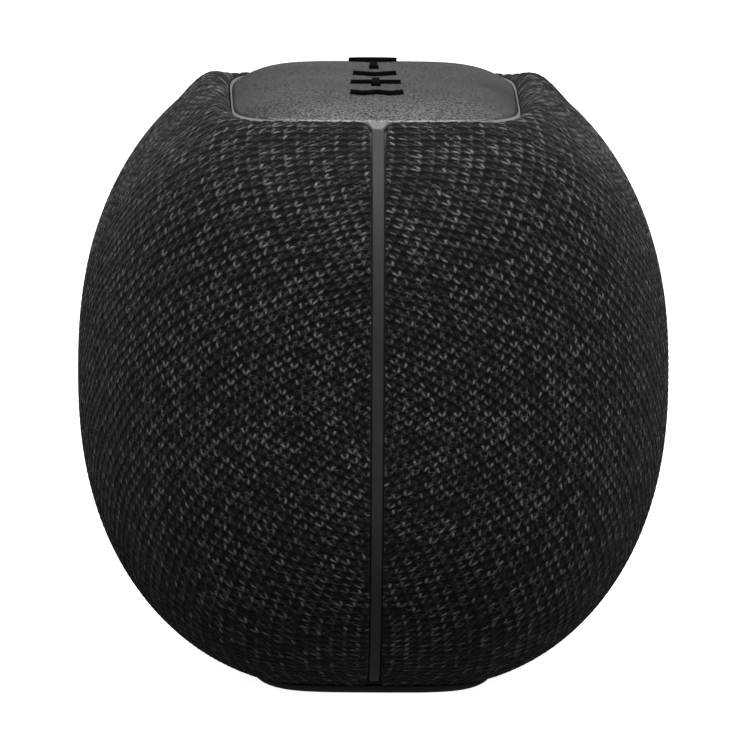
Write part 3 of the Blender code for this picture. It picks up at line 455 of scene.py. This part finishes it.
def heather_knit():
    """Piqué knit: V stitches on every other cell of the grid in the "stitch" map, with dark holes
    between them, each leg its own shade of a heathered yarn. The holes' near black is the dark body
    behind, deepened by painted shade, which also darkens the yarn round the holes and between legs."""
    paint = Paint("heather_knit", 0.88)
    cells = paint.node("ShaderNodeUVMap", uv_map="stitch").outputs[0]
    split = paint.node("ShaderNodeSeparateXYZ", {0: cells})
    p, q = split.outputs[0], split.outputs[1]
    column, row = paint.math("FLOOR", p), paint.math("FLOOR", q)
    across, up = paint.math("FRACT", p), paint.math("FRACT", q)
    hole = paint.math("FLOORED_MODULO", paint.math("ADD", column, row), 2.0)
    off_middle = paint.math("SUBTRACT", across, 0.5)
    side = paint.math("SIGN", off_middle)
    reach = paint.math("ABSOLUTE", off_middle)

    # A leg runs from near the cell's bottom middle out to its top corner, as a short fat dash
    # Its colour fades into the holes' painted shade towards the leg's edges
    leg_line = paint.math("MULTIPLY_ADD", up, 0.3, 0.1)
    away = paint.math("DIVIDE", paint.math("SUBTRACT", reach, leg_line), 0.21)
    along = paint.math("DIVIDE", paint.math("SUBTRACT", up, 0.5), 0.56)
    far = paint.math("MULTIPLY_ADD", away, away, paint.math("MULTIPLY", along, along))
    stitch = paint.smooth(far, 0.25, 1.15, 1.0, 0.0)

    # Between stitches the ground yarn shows at the cell's sides, round a hole, in painted shade:
    # at most half the stitch's brightness, and darker towards the hole
    low = paint.math("DIVIDE", off_middle, 0.46)
    tall = paint.math("DIVIDE", paint.math("SUBTRACT", up, 0.5), 0.5)
    hollow = paint.math("MULTIPLY_ADD", low, low, paint.math("MULTIPLY", tall, tall))
    ground = paint.smooth(hollow, 0.35, 1.3, 0.0, 0.5)
    yarn = paint.node("ShaderNodeMix", {0: hole, 2: stitch, 3: ground}).outputs[0]

    key = paint.node("ShaderNodeCombineXYZ", {0: column, 1: row, 2: side}).outputs[0]
    dye = paint.node("ShaderNodeTexWhiteNoise", {0: key}, noise_dimensions="3D").outputs[0]
    slow = paint.noise(cells, 9.0, 2.0)
    dye = paint.math("MULTIPLY_ADD", paint.math("SUBTRACT", slow, 0.5), 0.12, dye, clamp=True)
    fibre = paint.noise(paint.place(), 0.22, 3.0, 0.7)
    fleck = paint.math("POWER", dye, 2.6)
    fleck = paint.math("MULTIPLY", fleck, paint.smooth(fibre, 0.34, 0.62, 0.2, 1.4))
    shade = paint.mix(fleck, KNIT_DARK, KNIT_LIGHT)
    # depth mixes the yarn's colour towards the holes' near black: painted shade round the stitches
    depth = paint.math("MULTIPLY", yarn, paint.smooth(fibre, 0.25, 0.65, 0.55, 1.1))
    paint.colour(paint.mix(depth, KNIT_HOLE_SHADE, shade))
    height = paint.math("MULTIPLY_ADD", fibre, 0.18, paint.math("MULTIPLY", yarn, 0.8))
    paint.relief(height, 0.3, 0.85)
    paint.shader.inputs["Specular IOR Level"].default_value = 0.18
    paint.shader.inputs["Sheen Weight"].default_value = 0.05
    paint.shader.inputs["Sheen Roughness"].default_value = 0.5
    paint.shader.inputs["Sheen Tint"].default_value = (1.0, 0.94, 0.88, 1.0)
    return paint.material


def make_finishes():
    """One material for each of the record's material slots."""
    return {
        "knit": heather_knit(),
        # The plate's light speckle colour is grain tone and painted glints
        "panel": blasted("blasted_plate", (0.045,) * 3, (0.28, 0.28, 0.29), 0.42, 0.75, 0.6, 0.055),
        "trim": moulded("trim_plastic", (0.17, 0.165, 0.162), 0.5, 0.3, 0.012, 0.05, 0.3),
        "strip": moulded("strip_plastic", (0.026, 0.0257, 0.0257), 0.55, 0.22, 0.012, 0.1, 0.3),
        "button": moulded("button_plastic", (0.003, 0.003, 0.003), 0.8, 0.25, 0.012, 0.18, 0.02),
        "foot_rubber": moulded("foot_rubber", (0.009, 0.009, 0.009), 0.8, 0.5, 0.04),
        "soft_rubber": moulded("soft_rubber", (0.016, 0.016, 0.017), 0.6, 0.8, 0.03),
        "housing": moulded("housing_plastic", (0.014, 0.014, 0.014), 0.55, 0.6, 0.05),
        "port": moulded("port_plastic", (0.012, 0.012, 0.012), 0.5, 0.35, 0.03),
        "circuit": circuit_board(),
        "steel": drawn("zinc_steel", (0.5, 0.5, 0.49), 0.34, (1.0, 1.0, 8.0), 0.8),
        "tin_can": drawn("tinned_can", (0.6, 0.6, 0.59), 0.3, (0.08, 1.0, 1.0), 0.3),
        "heat_sink": drawn("extruded_alloy", (0.52, 0.53, 0.55), 0.38, (1.0, 0.05, 1.0), 0.3),
        "magnet": blasted("ferrite", (0.06,) * 3, (0.16, 0.16, 0.165), 0.5, 0.6, 0.7, 0.05),
        "cone": pressed_pulp(),
        "flat_cable": flat_film(),
    }


# ---------------------------------------------------------------- the knitted covers

def stitch_cells(points):
    """Where each point lies on the flat knit, in cells: an equal-area map centred on the +X side."""
    away = points - np.array([0.0, 0.0, WAIST_Z])
    away = away / np.array([BODY_HALF_X, BODY_HALF_Y, BODY_HALF_Z])
    away /= np.linalg.norm(away, axis=-1, keepdims=True)
    tilt = np.arccos(np.clip(away[..., 0], -1.0, 1.0))
    reach = 2.0 * FLAT_RADIUS / CELL * np.sin(tilt / 2.0)
    around = np.maximum(np.hypot(away[..., 1], away[..., 2]), 1e-9)
    p, q = reach * away[..., 1] / around, reach * away[..., 2] / around
    return (
        p + CELL_WANDER * np.sin(q * 0.37 + 1.3) * np.sin(p * 0.23 + 0.4),
        q + CELL_WANDER * np.sin(p * 0.31 + 2.1) * np.sin(q * 0.29 + 0.9),
    )


def stitch_height(p, q):
    """Relief of the knit in mm over its middle: rounded cells, with the two legs of each V on them."""
    across, up = p - np.floor(p), q - np.floor(q)
    hole = np.mod(np.floor(p) + np.floor(q), 2.0)
    cell = np.sin(math.pi * across) * np.sin(math.pi * up) * (1.0 - 2.0 * hole)
    leg_line = 0.4 * up + 0.06
    away = (np.abs(across - 0.5) - leg_line) / 0.2
    leg = np.maximum(0.0, 1.0 - away**2) * np.sin(math.pi * up) ** 0.5 * (1.0 - hole)
    return STITCH_RELIEF * cell + LEG_RELIEF * (leg - 0.25)


def rolled(distance):
    """How deep the cloth's face is at a distance from its edge, which is a quarter round."""
    near = np.clip(EDGE_ROLL - distance, 0.0, EDGE_ROLL)
    return EDGE_ROLL - np.sqrt(EDGE_ROLL**2 - near**2)


def edge_steps(count):
    """Distances from an edge across its quarter round, closer together towards the edge."""
    turn = np.linspace(0.0, math.pi / 2.0, count + 1)[1:]
    return EDGE_ROLL * (1.0 - np.sin(turn))


def cover_grid():
    """v, part, set_back and inset for every point of a cover."""
    roll = edge_steps(ROLL_STEPS)
    tuck = np.linspace(0.0, EDGE_DEPTH - EDGE_ROLL, TUCK_STEPS + 1)[1:]
    main = np.linspace(-1.0, 1.0, COVER_COLUMNS + 1)
    side_back = np.concatenate([roll, np.zeros(TUCK_STEPS)])
    set_back = np.concatenate([side_back[::-1], np.full(main.size, EDGE_ROLL), side_back])
    ends = np.ones(side_back.size)
    part = np.concatenate([-ends, main, ends])
    side_tuck = np.concatenate([np.zeros(ROLL_STEPS), tuck])
    column_tuck = np.concatenate([side_tuck[::-1], np.zeros(main.size), side_tuck])

    body = np.linspace(0.0, 1.0, COVER_ROWS, endpoint=False)
    last = EDGE_ROLL / TOP_SPAN
    top = np.linspace(1.0, 2.0 - last, COVER_TOP_ROWS + 1)
    v = np.concatenate([np.zeros(TUCK_STEPS), body, top, 2.0 - roll / TOP_SPAN, [2.0] * TUCK_STEPS])
    row_tuck = np.concatenate(
        [tuck[::-1], np.zeros(body.size + top.size + ROLL_STEPS), tuck]
    )
    v, part = np.meshgrid(v, part, indexing="ij")
    set_back = np.broadcast_to(set_back, v.shape)
    from_seam = np.where(set_back < EDGE_ROLL, set_back, 10.0)
    from_top = (2.0 - v) * TOP_SPAN
    inset = np.maximum(rolled(from_seam), rolled(from_top))
    inset = inset + np.maximum(row_tuck[:, None], column_tuck[None, :])
    return v, part, set_back, inset


def surface_normals(points):
    along = np.gradient(points, axis=1)
    up = np.gradient(points, axis=0)
    normal = np.cross(along, up)
    length = np.linalg.norm(normal, axis=-1, keepdims=True)
    return normal / np.maximum(length, 1e-9)


def grid_mesh(name, points, maps, flip, keep=None):
    """A mesh over a grid of points in mm, with a UV map for each entry of maps."""
    rows, columns = points.shape[:2]
    index = np.arange(rows * columns).reshape(rows, columns)
    quads = np.stack(
        [index[:-1, :-1], index[:-1, 1:], index[1:, 1:], index[1:, :-1]], axis=-1
    ).reshape(-1, 4)
    if flip:
        quads = quads[:, ::-1]
    if keep is not None:
        quads = quads[keep(points.reshape(-1, 3)[quads].mean(axis=1))]
    used, quads = np.unique(quads, return_inverse=True)
    quads = quads.reshape(-1, 4).astype(np.int32)
    mesh = bpy.data.meshes.new(name)
    mesh.vertices.add(used.size)
    mesh.vertices.foreach_set("co", (points.reshape(-1, 3)[used] * MM).ravel())
    mesh.loops.add(quads.size)
    mesh.loops.foreach_set("vertex_index", quads.ravel())
    mesh.polygons.add(len(quads))
    mesh.polygons.foreach_set("loop_start", np.arange(0, quads.size, 4, dtype=np.int32))
    mesh.update(calc_edges=True)
    for map_name, values in maps.items():
        layer = mesh.uv_layers.new(name=map_name)
        values = values.reshape(-1, 2)[used][quads.ravel()]
        layer.uv.foreach_set("vector", values.astype(np.float32).ravel())
    mesh.shade_smooth()
    mesh.validate()
    return mesh


def outside_port(middles):
    """Which faces stay clear of the port's opening at the rear."""
    across = np.abs(middles[:, 0]) / (PORT_HALF[0] + PORT_GAP)
    up = np.abs(middles[:, 2] - WAIST_Z - PORT_LEVEL) / (PORT_HALF[1] + PORT_GAP)
    return (middles[:, 1] < 0) | (across**PORT_POWER + up**PORT_POWER > 1.0)


def port_roll(points):
    """How deep the cloth's face is rolled in round the port's opening."""
    x, z = points[..., 0], points[..., 2] - WAIST_Z - PORT_LEVEL
    plan = (PORT_HALF[0] + PORT_GAP, PORT_HALF[1] + PORT_GAP)
    reach = (np.abs(x / plan[0]) ** PORT_POWER + np.abs(z / plan[1]) ** PORT_POWER) ** (
        1.0 / PORT_POWER
    )
    away = (reach - 1.0) * plan[1]
    depth = np.where(away < 0.0, EDGE_DEPTH, rolled(np.maximum(away, 0.0)))
    return np.where(points[..., 1] > 0, depth, 0.0)


def make_covers(finish):
    """The two knitted covers, each a sheet with a rolled edge that turns in under itself."""
    v, part, set_back, inset = cover_grid()
    smooth = skin_points(v, part, inset, set_back)
    normal = surface_normals(smooth)
    p, q = stitch_cells(skin_points(v, part, np.zeros_like(v), set_back))
    flat_share = np.clip(1.0 - inset / EDGE_ROLL, 0.0, 1.0)
    lift = stitch_height(p, q) * flat_share - port_roll(smooth)
    points = smooth + normal * lift[..., None]
    rows, columns = v.shape
    across, up = np.meshgrid(np.linspace(0, 1, columns), np.linspace(0, 1, rows))
    for side, name in ((-1, "fabric_cover_left"), (1, "fabric_cover_right")):
        placed = points * np.array([side, 1.0, 1.0])
        maps = {
            "UVMap": np.stack([across, up], axis=-1),
            "stitch": np.stack([p + SIDE_SHIFT * side, q], axis=-1),
        }
        mesh = grid_mesh(f"knit_{name}", placed, maps, side < 0, outside_port)
        piece = bpy.data.objects.new(f"knit_{name}", mesh)
        bpy.context.scene.collection.objects.link(piece)
        mesh.materials.append(finish)
        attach(piece, "housing")
        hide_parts(name)


# ---------------------------------------------------------------- strips, ring and panel

def make_strip(name, end, low, high, steps, finish):
    """A seam strip down one end, its face slightly crowned and its long edges rounded."""
    section = [(-1.0, 0.32), (-0.97, 0.12), (-0.88, 0.02), (-0.5, 0.0), (0.0, -0.03)]
    section += [(-x, drop) for x, drop in reversed(section[:-1])]
    rows = []
    for k in range(steps + 1):
        v = low + (high - low) * k / steps
        row = []
        for across, drop in section:
            reach, level = seam_point(v, STRIP_INSET + drop)
            row.append((strip_half(level) * across, end * reach, WAIST_Z + level))
        for across in (0.97, 0.0, -0.97):
            reach, level = seam_point(v, STRIP_INSET + STRIP_THICK)
            row.append((strip_half(level) * across, end * reach, WAIST_Z + level))
        rows.append(row)
    middles = [tuple(np.mean(rows[k], axis=0)) for k in (0, -1)]
    points, faces = capped(rows, *middles)
    piece = add_piece(name, points, faces, "housing", [name.replace("plain_", "")])
    piece.data.materials.append(finish)
    return piece


def make_strips(finish):
    edge = PORT_HALF[1] + PORT_GAP + 0.4
    port_low, port_high = skin_share(PORT_LEVEL - edge), skin_share(PORT_LEVEL + edge)
    make_strip("plain_seam_strip_front", -1, STRIP_LOW_SHARE, STRIP_TOP_SHARE, 110, finish)
    make_strip("plain_seam_strip_rear_lower", 1, STRIP_LOW_SHARE, port_low, 30, finish)
    make_strip("plain_seam_strip_rear_upper", 1, port_high, STRIP_TOP_SHARE, 80, finish)


def ring_at(plan, drop, tab=0.0):
    """A ring of the plan, this far below the panel's face, or below the covers' lip where it is at
    the ring's outer edge. tab draws it out over each seam strip."""
    x, y = even_ring(plan, RING_COLUMNS)
    at_lip = plan[0] > (PANEL_SEAT[0] + RING_OUTER[0]) / 2
    z = WAIST_Z + (lip_level(y) if at_lip else panel_level(x, y)) - drop
    near = tab * np.clip((TAB_HALF - np.abs(x)) / TAB_SLANT, 0.0, 1.0)
    return np.stack(
        [x * (1.0 - (1.0 - TAB_TAPER) * near), y + np.sign(y) * TAB_REACH * near, z - TAB_FALL * near],
        axis=-1,
    )


def shrunk(plan, by):
    """The plan with its outline this much further in."""
    return plan[0] - by, plan[1] - by, plan[2]


def make_ring(finish):
    """The trim ring: a flat lip with rounded edges, a seat for the panel, and a tab at each end."""
    low = RING_LIP_DROP + TAB_THICK
    back, down = RING_SOFT
    rings = [
        ring_at(shrunk(PANEL_SEAT, -RING_EDGE), RING_TOP_DROP),
        ring_at(shrunk(PANEL_SEAT, -back), RING_TOP_DROP + down),
        ring_at(PANEL_SEAT, RING_TOP_DROP + RING_EDGE),
        ring_at(PANEL_SEAT, RING_SEAT_DROP),
        ring_at(RING_INNER, RING_SEAT_DROP),
        ring_at(RING_INNER, RING_UNDER_DROP),
        ring_at(RING_OUTER, RING_DEPTH),
        ring_at(RING_OUTER, low + 0.4),
        ring_at(RING_OUTER, low, 1.0),
        ring_at(RING_OUTER, RING_LIP_DROP + RING_EDGE, 1.0),
        ring_at(shrunk(RING_OUTER, back), RING_LIP_DROP + down, 1.0),
        ring_at(shrunk(RING_OUTER, RING_EDGE), RING_LIP_DROP, 0.94),
    ]
    points, faces = banded(rings)
    piece = add_piece("ring_with_tabs", points, faces, "housing", ["top_ring"])
    piece.data.materials.append(finish)


def panel_ring(share, drop, by=0.0):
    """A ring of the panel, at this share of its size and this far below its top face."""
    x, y = even_ring(shrunk(PANEL, by), PANEL_COLUMNS)
    x, y = x * share, y * share
    return np.stack([x, y, WAIST_Z + panel_level(x, y) - drop], axis=-1)


def make_panel(finish):
    """The control panel: lower towards its edges, with a rounded rim and a hole for each button."""
    shares = np.linspace(0.08, 0.985, 24)
    top = [panel_ring(s, 0.0) for s in shares]
    for turn in np.linspace(0.0, math.pi / 2.0, 5):
        by, drop = PANEL_EDGE * (1.0 - math.sin(turn)), PANEL_EDGE * (1.0 - math.cos(turn))
        top.append(panel_ring(1.0, drop, by))
    under = [panel_ring(s, PANEL_THICK) for s in (1.0, 0.75, 0.3)]
    ends = [(0.0, 0.0, WAIST_Z + PANEL_LEVEL - drop) for drop in (0.0, PANEL_THICK)]
    points, faces = capped(top + under, *ends)
    piece = add_piece("crowned_panel", points, faces, "housing", ["top_panel"])
    low, high = WAIST_Z + PANEL_LEVEL - 5.0, WAIST_Z + PANEL_LEVEL + 3.0
    for name, place, outline in BUTTONS:
        levels = [(BUTTON_CLEAR, low, 0.0), (BUTTON_CLEAR, high, 0.0)]
        cut(piece, extrusion(f"{name}_hole", moved(outline, place), levels))
    piece.data.materials.append(finish)
    piece.data.shade_smooth()
    piece.data.set_sharp_from_angle(angle=math.radians(32))


# ---------------------------------------------------------------- buttons

def box_outline(half_x, half_y):
    return [(half_x, -half_y), (half_x, half_y), (-half_x, half_y), (-half_x, -half_y)]


def disc_outline(radius):
    turns = [2.0 * math.pi * k / 72 for k in range(72)]
    return [(radius * math.cos(turn), radius * math.sin(turn)) for turn in turns]


def plus_outline(reach, arm):
    quarter = [(reach, -arm), (reach, arm), (arm, arm)]
    turns = [(1, 0), (0, 1), (-1, 0), (0, -1)]
    return [(x * c - y * s, x * s + y * c) for c, s in turns for x, y in quarter]


def zigzag_outline(half, depth, dips, grow):
    """A band as wide as two arms that dips towards the near end this many times."""
    steps = 2 * dips
    xs = [(-half + 2.0 * half * k / steps) for k in range(steps + 1)]
    ys = [-depth * (k % 2) for k in range(steps + 1)]
    xs[0], xs[-1] = xs[0] - grow, xs[-1] + grow
    arm = (ARM + grow) * math.hypot(1.0, depth / (half / dips))
    lower = [(x, y + depth / 2 - arm) for x, y in zip(xs, ys)]
    upper = [(x, y + depth / 2 + arm) for x, y in zip(xs, ys)]
    return lower + upper[::-1]


BUTTONS = [
    ("power_button", 2, lambda g: disc_outline(5.4 + g)),
    ("minus_button", 1, lambda g: box_outline(ARM + g, 4.6 + g)),
    ("play_button", 0, lambda g: zigzag_outline(4.8, 3.6, 1, g)),
    ("plus_button", -1, lambda g: plus_outline(5.55 + g, ARM + g)),
    ("pairing_button", -2, lambda g: zigzag_outline(5.85, 1.6, 2, g)),
]


def filleted(outline, radius=0.22, steps=3):
    """The outline with each corner cut back to a short curve."""
    if len(outline) > 40:
        return outline
    made = []
    for k, corner in enumerate(outline):
        corner = Vector(corner)
        before = Vector(outline[k - 1]) - corner
        after = Vector(outline[(k + 1) % len(outline)]) - corner
        start, end = corner + before.normalized() * radius, corner + after.normalized() * radius
        for step in range(steps + 1):
            t = step / steps
            point = start * (1 - t) ** 2 + corner * 2 * t * (1 - t) + end * t**2
            made.append((point.x, point.y))
    return made


def moved(outline, place):
    """The outline at its button's place, with its corners rounded, as a function of grow."""
    def placed(grow):
        return [(x, y + place * BUTTON_PITCH) for x, y in filleted(outline(grow))]

    return placed


def extrusion(name, outline, levels):
    """A closed body through an outline at (grow, height, tilt) levels. The outline is a function of
    grow, and a level rises by tilt for each mm along y from its middle."""
    rings = []
    for grow, z, tilt in levels:
        ring = outline(grow)
        middle = sum(y for _x, y in outline(0.0)) / len(ring)
        rings.append([(x, y, z + tilt * (y - middle)) for x, y in ring])
    points, faces = banded(rings, closed=False)
    count = len(rings[0])
    faces += [tuple(reversed(range(count))), tuple(range(len(points) - count, len(points)))]
    return add_piece(name, points, faces, None, [])


def make_button(name, place, outline, finish):
    """A raised symbol with a rounded rim, on the round flange that keeps it under the panel."""
    y = place * BUTTON_PITCH
    face = WAIST_Z + panel_level(0.0, y)
    tilt = (panel_level(0.0, y + 1.0) - panel_level(0.0, y - 1.0)) / 2.0
    flange_top = WAIST_Z + panel_level(FLANGE_R, abs(y) + FLANGE_R) - PANEL_THICK - FLANGE_CLEAR
    top = face + BUTTON_RISE
    levels = [(0.0, flange_top - FLANGE_THICK / 2, 0.0), (0.0, top - BUTTON_EDGE, tilt)]
    for turn in (0.35, 0.7, 1.0):
        angle = turn * math.pi / 2.0
        grow = -BUTTON_EDGE * (1.0 - math.cos(angle))
        levels.append((grow, top - BUTTON_EDGE * (1.0 - math.sin(angle)), tilt))

    symbol = extrusion(f"{name}_symbol", moved(outline, place), levels)
    low = flange_top - FLANGE_THICK
    discs = [(FLANGE_R - 0.3, low), (FLANGE_R, low + 0.3), (FLANGE_R, flange_top - 0.2)]
    discs.append((FLANGE_R - 0.2, flange_top))
    rings = []
    for radius, z in discs:
        rings.append([(across, y + along, z) for across, along in disc_outline(radius)])
    points, faces = capped(rings, (0.0, y, low), (0.0, y, flange_top))
    flange = add_piece(f"{name}_flange", points, faces, None, [])
    cut(symbol, flange, "UNION")
    symbol.name = f"raised_{name}"
    symbol.data.name = symbol.name
    symbol.data.materials.clear()
    symbol.data.materials.append(finish)
    symbol.data.shade_smooth()
    symbol.data.set_sharp_from_angle(angle=math.radians(40))
    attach(symbol, name)
    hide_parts(name)


# ---------------------------------------------------------------- foot and port

def make_foot(finish):
    """The rubber foot, which tucks in under the covers with a rounded lower edge."""
    plan = body_plan(np.float64(BOTTOM_LEVEL), 0.0)
    rings = []
    for share in np.linspace(0.0, 1.0, 11):
        tuck = FOOT_GAP + FOOT_TUCK * (1.0 - math.sqrt(share)) ** 1.4
        x, y = even_ring((plan[0] - tuck, plan[1] - tuck, plan[2]), 180)
        rings.append(np.stack([x, y, np.full_like(x, FOOT_HEIGHT * share)], axis=-1))
    for share in (0.985, 0.93):
        rings.append(rings[10] * np.array([share, share, 1.0]))
    points, faces = capped(rings, (0.0, 0.0, 0.0), (0.0, 0.0, FOOT_HEIGHT))
    piece = add_piece("tucked_foot", points, faces, "housing", ["base_foot"])
    piece.data.materials.append(finish)


def port_face(x, z, inset):
    """The +Y distance of the body's face, set in a little, over x and z from the port's middle."""
    plan = body_plan(PORT_LEVEL + z, PORT_INSET + inset)
    return plan[1] * (1.0 - np.abs(x / plan[0]) ** plan[2]) ** (1.0 / plan[2])


def port_ring(hole, outer, share, inset=0.0, back=None):
    """A ring between the round hole (share 0) and the outline (share 1)."""
    x, z = ((1.0 - share) * h + share * o for h, o in zip(hole, outer))
    y = port_face(x, z, inset) if back is None else np.full_like(x, back)
    return np.stack([x, y, WAIST_Z + PORT_LEVEL + z], axis=-1)


def make_port(finish):
    """The panel round the power inlet: it follows the body, with a dished rim at its round hole."""
    outer = even_ring((*PORT_HALF, PORT_POWER), 128)
    turn = np.arctan2(outer[1], outer[0])
    hole = PORT_HOLE_R * np.cos(turn), PORT_HOLE_R * np.sin(turn)
    rings = [port_ring(hole, outer, 0.0, 0.5), port_ring(hole, outer, 0.03, 0.15)]
    rings += [port_ring(hole, outer, share) for share in (0.08, 0.3, 0.55, 0.8, 0.94)]
    rings += [port_ring(hole, outer, 0.985, 0.06), port_ring(hole, outer, 1.0, 0.25)]
    rings += [port_ring(hole, outer, share, back=PORT_BACK_Y) for share in (1.0, 0.0)]
    points, faces = banded(rings)
    piece = add_piece("dished_port_panel", points, faces, "housing", ["port_panel"])
    piece.data.materials.append(finish)


# ---------------------------------------------------------------- the CAD nodes that stay

KEPT = {
    "housing": ["enclosure_left", "enclosure_right", "top_tray", "base_plate", "woofer_basket"]
    + ["radiator_frame"],
    "port": ["power_inlet"],
    "soft_rubber": ["button_membrane", "woofer_surround", "radiator_surround"],
    "circuit": ["control_board", "main_board", "antenna"],
    "tin_can": ["wireless_module", "microphone_left", "microphone_right"],
    "heat_sink": ["heat_sink"],
    "magnet": ["woofer_magnet"],
    "cone": ["woofer_cone", "radiator_diaphragm"],
    "flat_cable": ["ribbon_cable"],
}


def paint_kept_nodes(finishes):
    """Gives every CAD node that stays its slot's material. The switches are tinned cans, and the
    nodes that KEPT doesn't list are steel."""
    slots = {node: slot for slot, nodes in KEPT.items() for node in nodes}
    for name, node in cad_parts.items():
        if node.hide_render:
            continue
        slot = slots.get(name, "tin_can" if name.endswith("_switch") else "steel")
        node.data.materials.clear()
        node.data.materials.append(finishes[slot])


# ---------------------------------------------------------------- floor, light and camera

def make_floor():
    """A plain white floor that glows a little, so that it reads as an even studio sweep."""
    mesh = bpy.data.meshes.new("floor")
    corners = [(x * FLOOR_HALF, y * FLOOR_HALF, 0.0) for x, y in ((-1, -1), (1, -1), (1, 1), (-1, 1))]
    mesh.from_pydata(corners, [], [(0, 1, 2, 3)])
    floor = bpy.data.objects.new("floor", mesh)
    bpy.context.scene.collection.objects.link(floor)
    paint = Paint("floor_paint", 0.9)
    where = paint.node("ShaderNodeTexCoord").outputs["Object"]
    cloud = paint.node("ShaderNodeTexNoise", {"Vector": where, "Scale": 2.0}).outputs[0]
    paint.colour(paint.mix(cloud, *FLOOR_WHITES))
    paint.shader.inputs["Emission Color"].default_value = (1.0, 1.0, 1.0, 1.0)
    paint.shader.inputs["Emission Strength"].default_value = FLOOR_GLOW
    paint.shader.inputs["Specular IOR Level"].default_value = 0.0
    mesh.materials.append(paint.material)
    floor.visible_diffuse = False
    floor.visible_glossy = False


def area_light(name, place, size, power):
    data = bpy.data.lights.new(name, "AREA")
    data.shape = "RECTANGLE"
    data.size, data.size_y = size
    data.energy = power
    lamp = bpy.data.objects.new(name, data)
    lamp.location = place
    lamp.rotation_mode = "QUATERNION"
    lamp.rotation_quaternion = (Vector(LIGHT_AIM) - Vector(place)).to_track_quat("-Z", "Y")
    bpy.context.scene.collection.objects.link(lamp)


def make_lights():
    """Two softboxes, and a world that shines from above and below and is white to the camera."""
    for light in LIGHTS:
        area_light(*light)
    world = bpy.data.worlds.new("studio")
    bpy.context.scene.world = world
    world.use_nodes = True
    tree = world.node_tree
    where = tree.nodes.new("ShaderNodeTexCoord").outputs["Generated"]
    split = tree.nodes.new("ShaderNodeSeparateXYZ")
    tree.links.new(where, split.inputs[0])
    glow = tree.nodes.new("ShaderNodeMath")
    for place, (reach, low, high) in enumerate(WORLD_GLOW):
        rise = tree.nodes.new("ShaderNodeMapRange")
        rise.inputs["From Max"].default_value = reach
        rise.inputs["To Min"].default_value = low
        rise.inputs["To Max"].default_value = high
        tree.links.new(split.outputs[2], rise.inputs["Value"])
        tree.links.new(rise.outputs[0], glow.inputs[place])
    seen = tree.nodes.new("ShaderNodeMix")
    seen.inputs[3].default_value = 1.0
    tree.links.new(tree.nodes.new("ShaderNodeLightPath").outputs["Is Camera Ray"], seen.inputs[0])
    tree.links.new(glow.outputs[0], seen.inputs[2])
    tree.links.new(seen.outputs[0], tree.nodes["Background"].inputs["Strength"])
    tree.nodes["Background"].inputs["Color"].default_value = (1.0, 1.0, 1.0, 1.0)


def make_camera():
    """A long lens at the photograph's angle, a little above the body's middle."""
    data = bpy.data.cameras.new("photo_camera")
    data.lens = data.sensor_width * CAMERA_DISTANCE / VIEW_WIDTH
    data.clip_start, data.clip_end = 0.1, 60.0
    camera = bpy.data.objects.new("photo_camera", data)
    bpy.context.scene.collection.objects.link(camera)
    turn, rise = math.radians(CAMERA_AZIMUTH), math.radians(CAMERA_ELEVATION)
    back = Vector((math.sin(turn) * math.cos(rise), -math.cos(turn) * math.cos(rise), math.sin(rise)))
    camera.location = Vector((AIM_X, 0.0, AIM_Z)) + back * CAMERA_DISTANCE
    camera.rotation_mode = "QUATERNION"
    roll = Matrix.Rotation(math.radians(CAMERA_ROLL), 3, "Z").to_quaternion()
    camera.rotation_quaternion = (-back).to_track_quat("-Z", "Y") @ roll
    bpy.context.scene.camera = camera


def build():
    finishes = make_finishes()
    make_covers(finishes["knit"])
    make_strips(finishes["strip"])
    make_ring(finishes["trim"])
    make_panel(finishes["panel"])
    for name, place, outline in BUTTONS:
        make_button(name, place, outline, finishes["button"])
    make_foot(finishes["foot_rubber"])
    make_port(finishes["port"])
    paint_kept_nodes(finishes)
    make_floor()
    make_lights()
    make_camera()
    bpy.context.scene.view_settings.view_transform = "Standard"


build()
bpy.context.view_layer.update()
